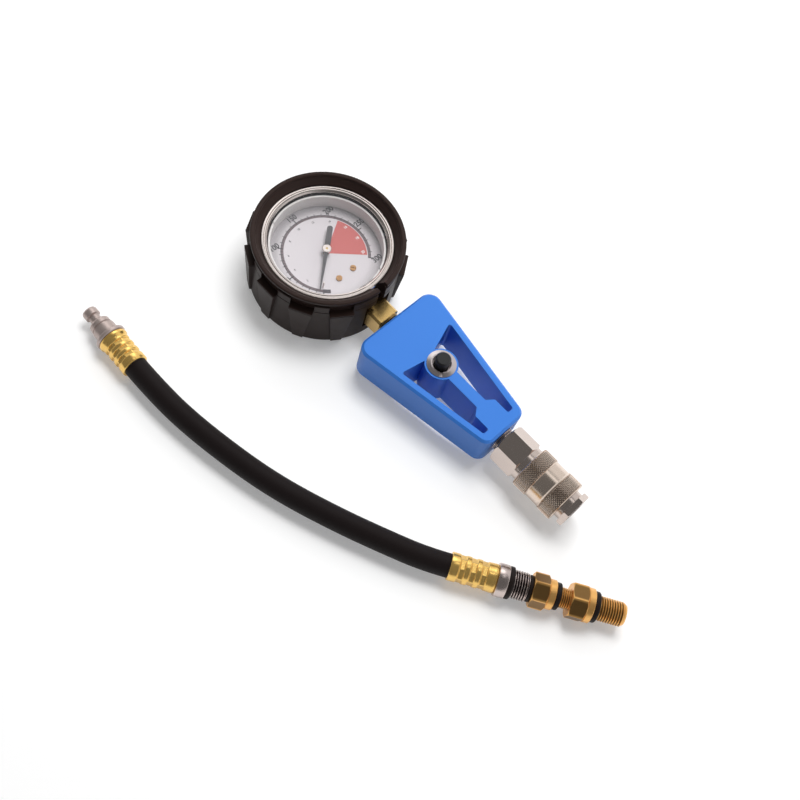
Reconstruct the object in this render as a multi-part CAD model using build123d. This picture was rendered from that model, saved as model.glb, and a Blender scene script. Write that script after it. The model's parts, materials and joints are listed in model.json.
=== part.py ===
from build123d import *
import math
import os

os.makedirs("parts", exist_ok=True)

# Compression tester for engine cylinders: a pressure gauge in a rubber boot,
# a tapered block with a relief button, a quick coupler, and a short hose.
# Millimetres, +Z up. The gauge lies on its back on z = 0 and the head unit
# runs along +X from the gauge to the coupler. Lengths along X are measured
# from the gauge axis, then everything is shifted to centre the head unit.

# Common fits
RUN = 0.06
SLIDE = 0.10
SEAT = 0.02

# Height of the stem, block and coupler axis above the table
AXIS_Z = 16.2

# Pipe thread shared by the stem, the block ports and the coupler
PIPE_R = 6.58
PIPE_BORE_R = 2.0

# Gauge case, bezel and window, each radius measured in from the bezel's outside
BACK_T = 3.5
BEZEL_R = 34.0
BEZEL_WALL = 1.4
BEZEL_FACE = 3.6
BEZEL_TOP_Z = 35.0
BEZEL_H = 7.1
FLANGE_W = 1.6
CASE_WALL = 0.8
CASE_TOP_Z = 30.0
WINDOW_T = 2.0
GASKET_T = 1.5
FLANGE_R = BEZEL_R - BEZEL_WALL
BEZEL_IN_R = BEZEL_R - BEZEL_FACE
CASE_R = FLANGE_R - FLANGE_W

# Dial and pointer
DIAL_Z = 23.4
DIAL_T = 0.8
DIAL_GAP = 0.3
DIAL_R = CASE_R - CASE_WALL - DIAL_GAP
RING_WALL = 1.0
RING_IN_R = DIAL_R - RING_WALL
SCREW_X = 15.35
SCREW_Y = 4.85
SCREW_R = 1.1
SCREW_HEAD_R = 1.6
POINTER_DEG = -50.0
POINTER_LEN = 23.8
POINTER_TAIL = 14.3
POINTER_Z = 27.0
POINTER_T = 0.5
HUB_R = 2.4
HUB_TOP_Z = 28.2
STOP_DEG = -46.4
STOP_R = 20.2
STOP_PIN_R = 0.45

# Movement: pinion and toothed sector
MODULE = 0.4
PINION_TEETH = 12
SECTOR_TEETH = 72
PRESSURE_DEG = 25.0
ADDENDUM = 0.8
DEDENDUM = 1.1
BACKLASH = 0.08
GEAR_Z = 12.6
GEAR_T = 1.6
SWING_DEG = 44.3
ARBOR_R = 0.7
PIVOT_R = 0.9
TAIL_LEN = 4.5
TAIL_PIN_R = 0.5
PLATE_T = 1.2
PLATE_LOW_Z = 7.0
PLATE_HIGH_Z = 18.8
TUBE_IN_R = 23.6
TUBE_W = 1.8
TUBE_OUT_R = TUBE_IN_R + TUBE_W
PLATE_BACK_IN = 10.6
PLATE_SIDE_IN = 3.0
PLATE_X0 = -(TUBE_IN_R - PLATE_BACK_IN)
PLATE_Y0 = -8.0
PLATE_Y1 = TUBE_IN_R - PLATE_SIDE_IN
PILLAR_R = 1.4
PILLAR_IN = 1.7
TUBE_H = 7.0
TUBE_WALL = 0.35
TUBE_DROP = 3.2
TUBE_TIP_DEG = 110.0
LINK_Z = 15.2
LINK_T = 1.0
LINK_W = 1.8
LINK_PLAY_DEG = 9.0
LINK_END_DEG = 11.0

# Brass stem
STEM_AF = 13.0
STEM_SQ_X0 = 36.0
STEM_SQ_X1 = 47.4
STEM_BLOCK_X0 = 12.0
STEM_BLOCK_LIP = 0.6
STEM_BLOCK_X1 = TUBE_OUT_R + STEM_BLOCK_LIP
STEM_BLOCK_W = 15.0
STEM_FOOT_L = 5.0
STEM_THREAD = 12.0
STEM_NECK_R = 6.0

# Rubber boot, its wall measured out from the bezel, its shields from its wall
BOOT_NECK_T = 4.0
BOOT_STEP = 1.0
BOOT_LEAN = 0.5
BOOT_FOOT_R = 2.0
LIP_REACH = 5.4
LIP_W = 2.7
LIP_T = 2.2
LIP_RISE = 4.5
FUNNEL_STEP = 0.9
PADS = 11
PAD_STEP_DEG = 29.3
PAD_TOP_OUT = 2.3
PAD_LOW_OUT = 1.0
PAD_HALF_TOP = 6.15
PAD_HALF_LOW = 2.7
PAD_LOW_Z = 1.7
NOTCH_DEPTH = 4.4
NOTCH_BITE = 0.5
LINE_DROP = 1.0
LINE_W = 0.5
LINE_DEPTH = 0.4
BOOT_TURN_DEG = 1.5
BOOT_SLOT_W = 16.5
BOOT_SLOT_Z0 = 7.5
BOOT_SLOT_Z1 = 26.0
BOOT_SLIT_W = 5.2

# Tapered block
BLOCK_X0 = 50.2
BLOCK_L = 80.0
BLOCK_WIDE = 54.4
BLOCK_NARROW = 27.2
BLOCK_T = 22.0
BLOCK_CH = 1.2
WIDE_CORNER_R = 6.5
NARROW_CORNER_R = 5.5
POCKET_WALL = 4.0
POCKET_R = 1.2
RIB_W = 6.0
POCKET_END = 5.8
POCKET_STEP = 15.0
POCKET_UP_X = 20.4
POCKET_UP_LEAN = 5.8
POCKET_LOW_X = 25.0
POCKET_LOW_LEAN = 2.9
STEP_LEN = 3.0
STEP_HALF = 7.0
BOSS_X = 34.2
BOSS_R = 8.6

# Relief valve
BUSH_HEAD_R = 7.6
BUSH_HEAD_T = 1.2
BUSH_R = 5.6
BUSH_LEN = 8.5
BUSH_MOUTH_R = 4.9
BUTTON_R = 3.95
BUTTON_PROUD = 6.0
BUTTON_TRAVEL = 2.5
BUTTON_FLANGE_R = 4.6
BUTTON_FLANGE_T = 1.0
BUTTON_SEAL_T = 0.8
BUTTON_STEM_R = 1.5
BUTTON_STEM_L = 5.6
VALVE_LIP_DEPTH = 4.6
SLOT_W = 1.5
SLOT_DEG = -48.0
VALVE_FLOOR = 6.6
VALVE_WIRE = 0.7

# Quick plug on the hose, from the wide collar to the tip
PLUG_COLLAR_R = 7.9
PLUG_COLLAR_T = 2.6
PLUG_BODY_R = 5.9
PLUG_BODY_L = 4.8
PLUG_NECK_R = 4.9
PLUG_NECK_L = 0.7
PLUG_RIM_R = 5.4
PLUG_RIM_L = 3.2
PLUG_GROOVE_R = 2.9
PLUG_GROOVE_L = 3.9
PLUG_KNOB_R = 3.9
PLUG_KNOB_L = 4.3
PLUG_BORE_R = 1.3

# Quick coupler
ADAPTOR_GAP = 2.3
ADAPTOR_THREAD = 14.3
HEX_AF = 19.0
HEX_L = 14.0
HEX_DEG = 19.0
COLLAR_L = 3.0
SLEEVE_R = 11.75
SLEEVE_GROOVE_R = 11.2
SLEEVE_L = 25.0
BAND_L = 8.5
BODY_R = 7.0
NECK_R = 8.2
NECK_L = 3.0
NOSE_AF = 17.0
NOSE_L = 3.1
PLUG_GAP = 0.6
BALL_R = 1.9
BALLS = 6
SLEEVE_TRAVEL = 2.6
COUPLER_WIRE = 0.9
SPIGOT_R = 5.5
SPIGOT_L = 10.0
SEAL_WIRE = 0.9

# Hose and its fittings
HOSE_R = 5.9
HOSE_BORE_R = 3.0
HOSE_TURN_SHARE = 0.45
HOSE_POINTS = [
    (-16.0, -109.45),
    (-3.0, -109.95),
    (22.5, -109.0),
    (57.4, -103.2),
    (81.4, -97.0),
    (108.0, -87.3),
    (130.0, -77.9),
    (148.1, -69.6),
    (158.2, -63.2),
]
FERRULE_R = 6.95
FERRULE_CRIMP = 12.6
CRIMP_ROWS = 3
PLUG_FERRULE_L = 19.0
PLUG_FERRULE_END_R = 7.6
END_FERRULE_L = 23.0
END_FERRULE_END_R = 7.1
BARB_L = 6.0
END_COLLAR_R = 8.1
END_COLLAR_L = 5.2
M14_R = 7.0
M14_L = 7.7
M12_R = 6.0
M12_L = 13.3
M12_RELIEF = 0.6
M10_R = 5.0
M10_SHOW = 4.8
M10_GRIP = 7.0
HEX1_AF = 15.0
HEX1_L = 7.7
HEX1_DEG = 20.0
FACE1_R = 7.3
FACE1_L = 3.5
HEX2_AF = 16.0
HEX2_L = 8.0
HEX2_DEG = 39.0
FACE2_R = 8.4
FACE2_L = 3.3
RING_A_R = 7.9
RING_A_L = 2.6
RING_B_R = 6.5
RING_B_L = 1.8
RING_C_R = 6.6
RING_C_L = 2.7
RING_D_R = 7.5
RING_D_L = 2.9
TIP_BORE_R = 2.9
PIN_TRAVEL = 1.5
LAY_GAP = 0.03

# Places along X that follow from the sizes above
BLOCK_X1 = BLOCK_X0 + BLOCK_L
BLOCK_Z0 = AXIS_Z - BLOCK_T / 2
BLOCK_Z1 = AXIS_Z + BLOCK_T / 2
VALVE_X = BLOCK_X0 + BOSS_X
HEX_X0 = BLOCK_X1 + ADAPTOR_GAP
HEX_X1 = HEX_X0 + HEX_L
COLLAR_X1 = HEX_X1 + COLLAR_L
SLEEVE_X1 = COLLAR_X1 + SLEEVE_L
NECK_X1 = SLEEVE_X1 + NECK_L
NOSE_X1 = NECK_X1 + NOSE_L
MOUTH_DEPTH = PLUG_GAP + PLUG_BODY_L + PLUG_NECK_L + PLUG_RIM_L + 0.15
BALL_X = NOSE_X1 - (PLUG_GAP + PLUG_BODY_L + PLUG_NECK_L + PLUG_RIM_L + PLUG_GROOVE_L / 2)
LAND_R = BODY_R + 0.08
LAND_X0 = BALL_X - BALL_R
LAND_X1 = BALL_X + 1.1
STEM_THREAD_X1 = STEM_SQ_X1 + STEM_THREAD
WINDOW_Z0 = CASE_TOP_Z + GASKET_T
WINDOW_Z1 = WINDOW_Z0 + WINDOW_T
PINION_PR = MODULE * PINION_TEETH / 2
SECTOR_PR = MODULE * SECTOR_TEETH / 2
PIVOT_Y = PINION_PR + SECTOR_PR
BOOT_NECK_R = BEZEL_R + BOOT_NECK_T
BOOT_TOP_R = BOOT_NECK_R + BOOT_STEP
BOOT_BASE_R = BOOT_TOP_R - BOOT_LEAN
BOOT_SHOULDER_Z = BEZEL_TOP_Z + 0.2
LIP_R = BEZEL_R + LIP_REACH
LIP_TOP_Z = BEZEL_TOP_Z + LIP_RISE
PAD_TOP_D = BOOT_TOP_R + PAD_TOP_OUT
PAD_LOW_D = BOOT_BASE_R + PAD_LOW_OUT
PAD_TOP_Z = BOOT_SHOULDER_Z - NOTCH_DEPTH
BOOT_TURN = math.radians(BOOT_TURN_DEG)
BOOT_REACH = PAD_TOP_D * math.cos(BOOT_TURN) + PAD_HALF_TOP * math.sin(BOOT_TURN)
SHIFT_X = (BOOT_REACH - NOSE_X1) / 2


def turned_z(points):
    """Solid turned about the gauge axis from (radius, height) points."""
    path = Polyline(*[(r, 0, z) for r, z in points], close=True)
    return revolve(make_face(path), axis=Axis.Z)


def turned_x(points, height=AXIS_Z):
    """Solid turned about an X axis at the given height from (x, radius) points."""
    path = Polyline(*[(x, r, 0) for x, r in points], close=True)
    return Pos(0, 0, height) * revolve(make_face(path), axis=Axis.X)


def rod_x(radius, x0, x1, height=AXIS_Z):
    """Round bar along X between two places."""
    return turned_x([(x0, 0), (x0, radius), (x1, radius), (x1, 0)], height)


def rod_z(radius, z0, z1, x=0.0, y=0.0):
    """Upright round bar."""
    return Pos(x, y, (z0 + z1) / 2) * Cylinder(radius, z1 - z0)


def ring_z(inner, outer, z0, z1):
    """Flat ring about the gauge axis."""
    return turned_z([(inner, z0), (outer, z0), (outer, z1), (inner, z1)])


def block_between(x0, x1, y0, y1, z0, z1):
    """Box given by its six faces."""
    middle = Pos((x0 + x1) / 2, (y0 + y1) / 2, (z0 + z1) / 2)
    return middle * Box(x1 - x0, y1 - y0, z1 - z0)


def hex_x(flats, x0, x1, turn_deg, bevel, height=AXIS_Z):
    """Hexagon bar along X with bevelled ends; a flat faces turn_deg from +Z to -Y."""
    face = RegularPolygon(flats / 2, 6, major_radius=False, rotation=turn_deg)
    bar = extrude(Plane.YZ * face, x1 - x0)
    corner = flats / 2 / math.cos(math.pi / 6)
    drop = bevel * 0.6
    cone = [
        (x0, 0),
        (x0, corner - bevel),
        (x0 + drop, corner),
        (x1 - drop, corner),
        (x1, corner - bevel),
        (x1, 0),
    ]
    return (Pos(x0, 0, height) * bar) & turned_x(cone, height)


def coil(radius, wire, length, turns, base):
    """Helical spring standing on the given height, coil axis +Z."""
    pitch = (length - wire) / turns
    path = Helix(pitch=pitch, height=length - wire, radius=radius)
    face = Plane(path @ 0, z_dir=path % 0) * Circle(wire / 2)
    return Pos(0, 0, base + wire / 2) * sweep(face, path=path, is_frenet=True)


def involute_half(teeth, radius):
    """Half angle of a tooth at the given radius, for the shared module."""
    pressure = math.radians(PRESSURE_DEG)
    pitch_r = MODULE * teeth / 2
    base_r = pitch_r * math.cos(pressure)
    half = math.pi / (2 * teeth) - BACKLASH / (4 * pitch_r)
    shape = math.tan(pressure) - pressure
    if radius <= base_r:
        return half + shape
    local = math.acos(base_r / radius)
    return half + shape - (math.tan(local) - local)


def tooth_points(teeth, centre):
    """Outline of one tooth, counter-clockwise, as (x, y) about the gear centre."""
    pitch_r = MODULE * teeth / 2
    low = pitch_r - DEDENDUM * MODULE
    high = pitch_r + ADDENDUM * MODULE
    radii = [low + (high - low) * i / 4 for i in range(5)]
    right = [(r, centre - involute_half(teeth, r)) for r in radii]
    left = [(r, centre + involute_half(teeth, r)) for r in reversed(radii)]
    return [(r * math.cos(a), r * math.sin(a)) for r, a in right + left]


def pinion_face():
    """Closed outline of the pinion, with a gap facing the sector."""
    points = []
    for i in range(PINION_TEETH):
        centre = math.pi / 2 + math.pi / PINION_TEETH + 2 * math.pi * i / PINION_TEETH
        points += tooth_points(PINION_TEETH, centre)
    return make_face(Polyline(*points, close=True))


def sector_face():
    """Toothed sector about its own pivot, a tooth pointing at the arbor."""
    step = 2 * math.pi / SECTOR_TEETH
    count = int(SWING_DEG / math.degrees(step)) + 1
    points = []
    for i in range(-count - 1, 2):
        points += tooth_points(SECTOR_TEETH, -math.pi / 2 + i * step)
    root = SECTOR_PR - DEDENDUM * MODULE
    rim_in = root - 1.6
    first = -math.pi / 2 - (count + 1.6) * step
    last = -math.pi / 2 + 1.6 * step
    spread = [last - (last - first) * i / 8 for i in range(9)]
    points.append((root * math.cos(last), root * math.sin(last)))
    points += [(rim_in * math.cos(a), rim_in * math.sin(a)) for a in spread]
    points.append((root * math.cos(first), root * math.sin(first)))
    return make_face(Polyline(*points, close=True))


# Gauge


def boot_body():
    """Turned cup: rounded foot, leaning wall, shoulder, neck and funnel under the lip."""
    pocket = BEZEL_R + SEAT
    hollow = CASE_R + SEAT
    floor_z = BEZEL_TOP_Z - BEZEL_H - SEAT
    lip_z = LIP_TOP_Z - LIP_T / 2
    foot = BOOT_FOOT_R
    turn = foot * (1 - math.cos(math.pi / 4))
    wall = [
        (BOOT_BASE_R, 0, foot),
        (BOOT_TOP_R, 0, BOOT_SHOULDER_Z - 0.4),
        (BOOT_TOP_R - 0.4, 0, BOOT_SHOULDER_Z),
        (BOOT_NECK_R, 0, BOOT_SHOULDER_Z),
        (BOOT_NECK_R, 0, lip_z),
        (LIP_R - LIP_W, 0, lip_z),
        (pocket + FUNNEL_STEP, 0, BEZEL_TOP_Z + FUNNEL_STEP),
        (pocket, 0, BEZEL_TOP_Z),
        (pocket, 0, floor_z),
        (hollow, 0, floor_z),
        (hollow, 0, BACK_T),
        (0, 0, BACK_T),
        (0, 0, 0),
        (BOOT_BASE_R - foot, 0, 0),
    ]
    middle = (BOOT_BASE_R - turn, 0, turn)
    edges = Polyline(*wall) + ThreePointArc(wall[-1], middle, wall[0])
    body = revolve(make_face(edges), axis=Axis.Z)
    bead = RectangleRounded(LIP_W, LIP_T, 0.4 * min(LIP_W, LIP_T))
    bead = Plane.XZ * Pos(LIP_R - LIP_W / 2, lip_z) * bead
    return body + revolve(bead, axis=Axis.Z)


def pad_turns():
    """Turns that carry a shield on +X to its place; the row is open at the stem."""
    first = 180 - PAD_STEP_DEG * (PADS - 1) / 2
    return [Rot(0, 0, first + PAD_STEP_DEG * i) for i in range(PADS)]


def pad_at(height):
    """Distance of a shield's flat face from the gauge axis, and its half width."""
    share = (height - PAD_LOW_Z) / (PAD_TOP_Z - PAD_LOW_Z)
    reach = PAD_LOW_D + (PAD_TOP_D - PAD_LOW_D) * share
    return reach, PAD_HALF_LOW + (PAD_HALF_TOP - PAD_HALF_LOW) * share


def shield():
    """Tapered shield with a flat leaning face, pointing along +X."""
    inner = BOOT_NECK_R - 2
    side = [(inner, PAD_LOW_Z), (PAD_LOW_D - 0.8, PAD_LOW_Z), (pad_at(PAD_LOW_Z + 0.8)[0], PAD_LOW_Z + 0.8)]
    side += [(PAD_TOP_D, PAD_TOP_Z - 0.2), (PAD_TOP_D - 0.2, PAD_TOP_Z), (inner, PAD_TOP_Z)]
    plate = make_face(Polyline(*[(x, 0, z) for x, z in side], close=True))
    plate = extrude(plate, PAD_HALF_TOP + 1, both=True)
    low, top = PAD_HALF_LOW, PAD_HALF_TOP
    front = [(-low, PAD_LOW_Z), (low, PAD_LOW_Z), (top, PAD_TOP_Z), (-top, PAD_TOP_Z)]
    prism = extrude(Plane.YZ * make_face(Polyline(*front, close=True)), PAD_TOP_D + 1)
    return plate & prism


def seam_line():
    """Thin groove that runs round the wall and round every shield."""
    z0 = PAD_TOP_Z - LINE_DROP - LINE_W / 2
    z1 = z0 + LINE_W
    reach, half = [size - LINE_DEPTH for size in pad_at(z0)]
    core = rod_z(BOOT_TOP_R - LINE_DEPTH - 0.1, z0, z1)
    core = core + [turn * block_between(0, reach, -half, half, z0, z1) for turn in pad_turns()]
    return rod_z(PAD_TOP_D + 3, z0, z1) - core


def rubber_boot():
    """Boot round the case: notched shoulder, shields, seam line, stem slot and lip slit."""
    half = PAD_HALF_TOP
    top = BOOT_SHOULDER_Z + 0.05
    notch = block_between(BOOT_NECK_R - 4, BOOT_TOP_R + 1, -half, half, PAD_TOP_Z, top)
    notch -= rod_z(BOOT_NECK_R - NOTCH_BITE, PAD_TOP_Z - 1, top + 1)
    boot = boot_body() - [turn * notch for turn in pad_turns()]
    boot = boot + [turn * shield() for turn in pad_turns()]
    boot -= seam_line()
    reach = PAD_TOP_D + 2
    half = BOOT_SLOT_W / 2
    boot -= block_between(CASE_R - 3, reach, -half, half, BOOT_SLOT_Z0, BOOT_SLOT_Z1)
    half = BOOT_SLIT_W / 2
    boot -= block_between(CASE_R - 3, reach, -half, half, BOOT_SLOT_Z1 - 1, LIP_TOP_Z + 1)
    return Rot(0, 0, BOOT_TURN_DEG) * boot.solids().sort_by(SortBy.VOLUME)[-1]


def gauge_case():
    """Drawn steel pan with an outward rim and a hole for the stem."""
    inner = CASE_R - CASE_WALL
    pan = [
        (0, BACK_T),
        (CASE_R, BACK_T),
        (CASE_R, CASE_TOP_Z - CASE_WALL),
        (FLANGE_R, CASE_TOP_Z - CASE_WALL),
        (FLANGE_R, CASE_TOP_Z),
        (inner, CASE_TOP_Z),
        (inner, BACK_T + CASE_WALL),
        (0, BACK_T + CASE_WALL),
    ]
    return turned_z(pan) - rod_x(STEM_NECK_R + RUN, CASE_R - 3, CASE_R + 3)


def bezel_ring():
    """Stepped bright ring that holds the window on the case rim."""
    top = BEZEL_TOP_Z
    seat_r = FLANGE_R + SLIDE
    under = CASE_TOP_Z - CASE_WALL - 0.05
    profile = [
        (CASE_R + 0.3, top - BEZEL_H),
        (BEZEL_R - 0.6, top - BEZEL_H),
        (BEZEL_R, top - BEZEL_H + 0.6),
        (BEZEL_R, top - 0.8),
        (BEZEL_R - 0.2, top - 0.35),
        (BEZEL_R - 0.6, top - 0.05),
        (BEZEL_R - 1.0, top),
        (BEZEL_R - 1.5, top),
        (BEZEL_R - 1.8, top - 0.5),
        (BEZEL_R - 2.3, top - 0.5),
        (BEZEL_R - 2.6, top - 0.25),
        (BEZEL_R - 3.1, top - 0.4),
        (BEZEL_IN_R, top - 1.0),
        (BEZEL_IN_R, WINDOW_Z1),
        (seat_r, WINDOW_Z1),
        (seat_r, under),
        (CASE_R + 0.3, under),
    ]
    return turned_z(profile)


def window():
    """Clear disc under the bezel."""
    return rod_z(FLANGE_R, WINDOW_Z0, WINDOW_Z1)


def window_gasket():
    """Flat rubber ring between the case rim and the window."""
    return ring_z(DIAL_R + 0.1, FLANGE_R, CASE_TOP_Z, WINDOW_Z0)


def dial_ring():
    """Pale ring that stands on the dial and carries up to the window."""
    return ring_z(RING_IN_R, DIAL_R, DIAL_Z, WINDOW_Z0)


def dial_plate():
    """Round dial with holes for the arbor, the screws and the stop pin."""
    dial = rod_z(DIAL_R, DIAL_Z - DIAL_T, DIAL_Z)
    dial -= rod_z(ARBOR_R + 0.8, DIAL_Z - 2, DIAL_Z + 1)
    for side in (-1, 1):
        dial -= rod_z(SCREW_R + RUN, DIAL_Z - 2, DIAL_Z + 1, SCREW_X, side * SCREW_Y)
    x, y = stop_place()
    dial -= rod_z(STOP_PIN_R, DIAL_Z - 2, DIAL_Z + 1, x, y)
    return dial


def stop_place():
    """Place of the stop pin beside the resting pointer."""
    angle = math.radians(STOP_DEG)
    return STOP_R * math.cos(angle), STOP_R * math.sin(angle)


def stop_pin():
    """Small pin that the pointer rests against."""
    x, y = stop_place()
    return rod_z(STOP_PIN_R, DIAL_Z - DIAL_T, POINTER_Z + POINTER_T + 0.6, x, y)


def dial_screws():
    """Two slotted screws that hold the dial on the stem block."""
    screws = []
    for side in (-1, 1):
        y = side * SCREW_Y
        screw = rod_z(SCREW_R, DIAL_Z - 5.0, DIAL_Z, SCREW_X, y)
        screw += rod_z(SCREW_HEAD_R, DIAL_Z, DIAL_Z + 0.8, SCREW_X, y)
        turn = Pos(SCREW_X, y, DIAL_Z + 0.8) * Rot(0, 0, 35 * side)
        screws.append(screw - turn * Box(4, 0.4, 0.7))
    return screws


def pointer():
    """Flat pointer with a long tapered tip and a short rounded tail."""
    outline = [(1.0, -1.1), (POINTER_LEN, -0.3), (POINTER_LEN, 0.3), (1.0, 1.1)]
    blade = make_face(Polyline(*outline, close=True))
    tail = Pos(-POINTER_TAIL / 2 + 0.75, 0) * Rectangle(POINTER_TAIL - 1.5, 3.0)
    end = Pos(-POINTER_TAIL + 1.5, 0) * Circle(1.5)
    flat = blade + tail + end + Circle(2.0)
    plate = extrude(flat, POINTER_T)
    plate -= Pos(0, 0, 0) * Cylinder(ARBOR_R, 4)
    return Pos(0, 0, POINTER_Z) * Rot(0, 0, POINTER_DEG) * plate


def pointer_hub():
    """Bright turned cap over the pointer."""
    cap = [
        (ARBOR_R, POINTER_Z + POINTER_T),
        (HUB_R, POINTER_Z + POINTER_T),
        (HUB_R, HUB_TOP_Z - 0.25),
        (HUB_R - 0.3, HUB_TOP_Z),
        (ARBOR_R, HUB_TOP_Z),
    ]
    return turned_z(cap)


def pointer_arbor():
    """Arbor with its pinion and pivots."""
    low_pivot = PLATE_LOW_Z + 0.2
    shaft = rod_z(ARBOR_R, PLATE_LOW_Z + PLATE_T + 0.1, HUB_TOP_Z - 0.2)
    shaft += rod_z(ARBOR_R - 0.25, low_pivot, PLATE_LOW_Z + PLATE_T + 0.1)
    teeth = extrude(pinion_face(), GEAR_T + 1.2)
    return shaft + Pos(0, 0, GEAR_Z - 0.6) * teeth


def sector_gear():
    """Toothed sector with spokes, hub, upper pivot, tail and tail pin."""
    rim = extrude(sector_face(), GEAR_T)
    middle = math.radians(-90 - SWING_DEG / 2)
    arm_len = SECTOR_PR - 1.5
    arm = Pos(arm_len / 2, 0, GEAR_T / 2) * Box(arm_len, 2.2, GEAR_T)
    gear = rim + Rot(0, 0, math.degrees(middle)) * arm
    gear += Pos(0, 0, GEAR_T / 2) * Cylinder(2.0, GEAR_T)
    tail_deg = 90 - SWING_DEG / 2
    tail = Pos(TAIL_LEN / 2, 0, GEAR_T / 2) * Box(TAIL_LEN, 1.8, GEAR_T)
    gear += Rot(0, 0, tail_deg) * tail
    pin_turn = Rot(0, 0, tail_deg) * Pos(TAIL_LEN, 0, 0)
    gear += pin_turn * Pos(0, 0, GEAR_T / 2) * Cylinder(0.9, GEAR_T)
    gear += pin_turn * Pos(0, 0, GEAR_T / 2 + 1.2) * Cylinder(TAIL_PIN_R, GEAR_T + 2.4)
    gear = Pos(0, PIVOT_Y, GEAR_Z) * gear
    shaft = rod_z(PIVOT_R, PLATE_LOW_Z + PLATE_T + 0.1, PLATE_HIGH_Z - 0.1, 0, PIVOT_Y)
    ends = rod_z(PIVOT_R - 0.3, PLATE_LOW_Z + 0.2, PLATE_HIGH_Z + PLATE_T - 0.2, 0, PIVOT_Y)
    return gear + shaft + ends


def movement_frame():
    """Two plates on pillars that carry the arbor and the sector pivot."""
    low_z, high_z = PLATE_LOW_Z, PLATE_HIGH_Z
    low_x1 = STEM_BLOCK_X1 - STEM_FOOT_L - 0.5
    high_x1 = STEM_BLOCK_X0 - 0.4
    frame = block_between(PLATE_X0, low_x1, PLATE_Y0, PLATE_Y1, low_z, low_z + PLATE_T)
    frame += block_between(PLATE_X0, high_x1, PLATE_Y0, PLATE_Y1, high_z, high_z + PLATE_T)
    left, right = PLATE_X0 + PILLAR_IN, high_x1 - PILLAR_IN
    near, far = PLATE_Y0 + PILLAR_IN, PLATE_Y1 - PILLAR_IN
    for x, y in ((left, near), (left, far), (right, far)):
        frame += rod_z(PILLAR_R, low_z, high_z + PLATE_T, x, y)
    top_z = high_z + PLATE_T + 1
    frame -= rod_z(ARBOR_R - 0.25 + RUN, PLATE_LOW_Z - 1, PLATE_LOW_Z + PLATE_T + 1)
    frame -= rod_z(ARBOR_R + RUN, high_z - 1, top_z)
    frame -= rod_z(PIVOT_R - 0.3 + RUN, PLATE_LOW_Z - 1, top_z, 0, PIVOT_Y)
    return frame


def bourdon_shape(inset):
    """Flattened C tube, or its hollow when inset is positive."""
    z0 = AXIS_Z - TUBE_DROP - TUBE_H / 2 + inset
    z1 = z0 + TUBE_H - 2 * inset
    inner = TUBE_IN_R + inset
    outer = TUBE_OUT_R - inset
    middle = (inner + outer) / 2
    section = [
        (inner, z0 + 0.6),
        (middle, z0),
        (outer, z0 + 0.6),
        (outer, z1 - 0.6),
        (middle, z1),
        (inner, z1 - 0.6),
    ]
    path = Polyline(*[(r, 0, z) for r, z in section], close=True)
    first = TUBE_TIP_DEG + 2
    return Rot(0, 0, first) * revolve(make_face(path), axis=Axis.Z, revolution_arc=360 - first)


def tip_place():
    """Place of the closed end of the C tube."""
    angle = math.radians(TUBE_TIP_DEG)
    middle = (TUBE_IN_R + TUBE_OUT_R) / 2
    return middle * math.cos(angle), middle * math.sin(angle)


def bourdon_tube():
    """Hollow C tube with its closed tip block."""
    tube = bourdon_shape(0) - bourdon_shape(TUBE_WALL)
    x, y = tip_place()
    z0 = AXIS_Z - TUBE_DROP - TUBE_H / 2 + 0.6
    half = (TUBE_OUT_R - TUBE_IN_R) / 2
    tip = block_between(-2.0, 1.0, -half, half, z0, LINK_Z)
    return tube + Pos(x, y, 0) * Rot(0, 0, TUBE_TIP_DEG - 90) * tip


def link():
    """Link plate from the tube tip to the sector tail, with a curved slot."""
    play = TAIL_PIN_R + 0.25
    wall = 0.9
    half = SWING_DEG / 2 + LINK_PLAY_DEG
    first, last = 90 - half - LINK_END_DEG, 90 + half + LINK_END_DEG
    plate = arc_strip(TAIL_LEN, play + wall, first, last)
    slot = arc_strip(TAIL_LEN, play, 90 - half, 90 + half)
    x, y = tip_place()
    end = math.radians(last - LINK_END_DEG / 2)
    end_x, end_y = TAIL_LEN * math.cos(end), PIVOT_Y + TAIL_LEN * math.sin(end)
    turn = Rot(0, 0, heading((x, y), (end_x, end_y)))
    bar = Rectangle(math.dist((x, y), (end_x, end_y)), LINK_W)
    bar = Pos((x + end_x) / 2, (y + end_y) / 2) * turn * bar
    face = plate + bar + Pos(x, y) * Circle(LINK_W / 2) - slot
    return Pos(0, 0, LINK_Z) * extrude(face, LINK_T)


def arc_strip(radius, half, first, last):
    """Flat strip about the sector pivot, between two angles."""
    outline = []
    for reach, start, size in ((radius + half, first, last - first), (radius - half, last, first - last)):
        outline.append(CenterArc((0, PIVOT_Y), reach, start, size))
    outline.append(Line(outline[0] @ 1, outline[1] @ 0))
    outline.append(Line(outline[1] @ 1, outline[0] @ 0))
    return make_face(outline)


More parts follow.
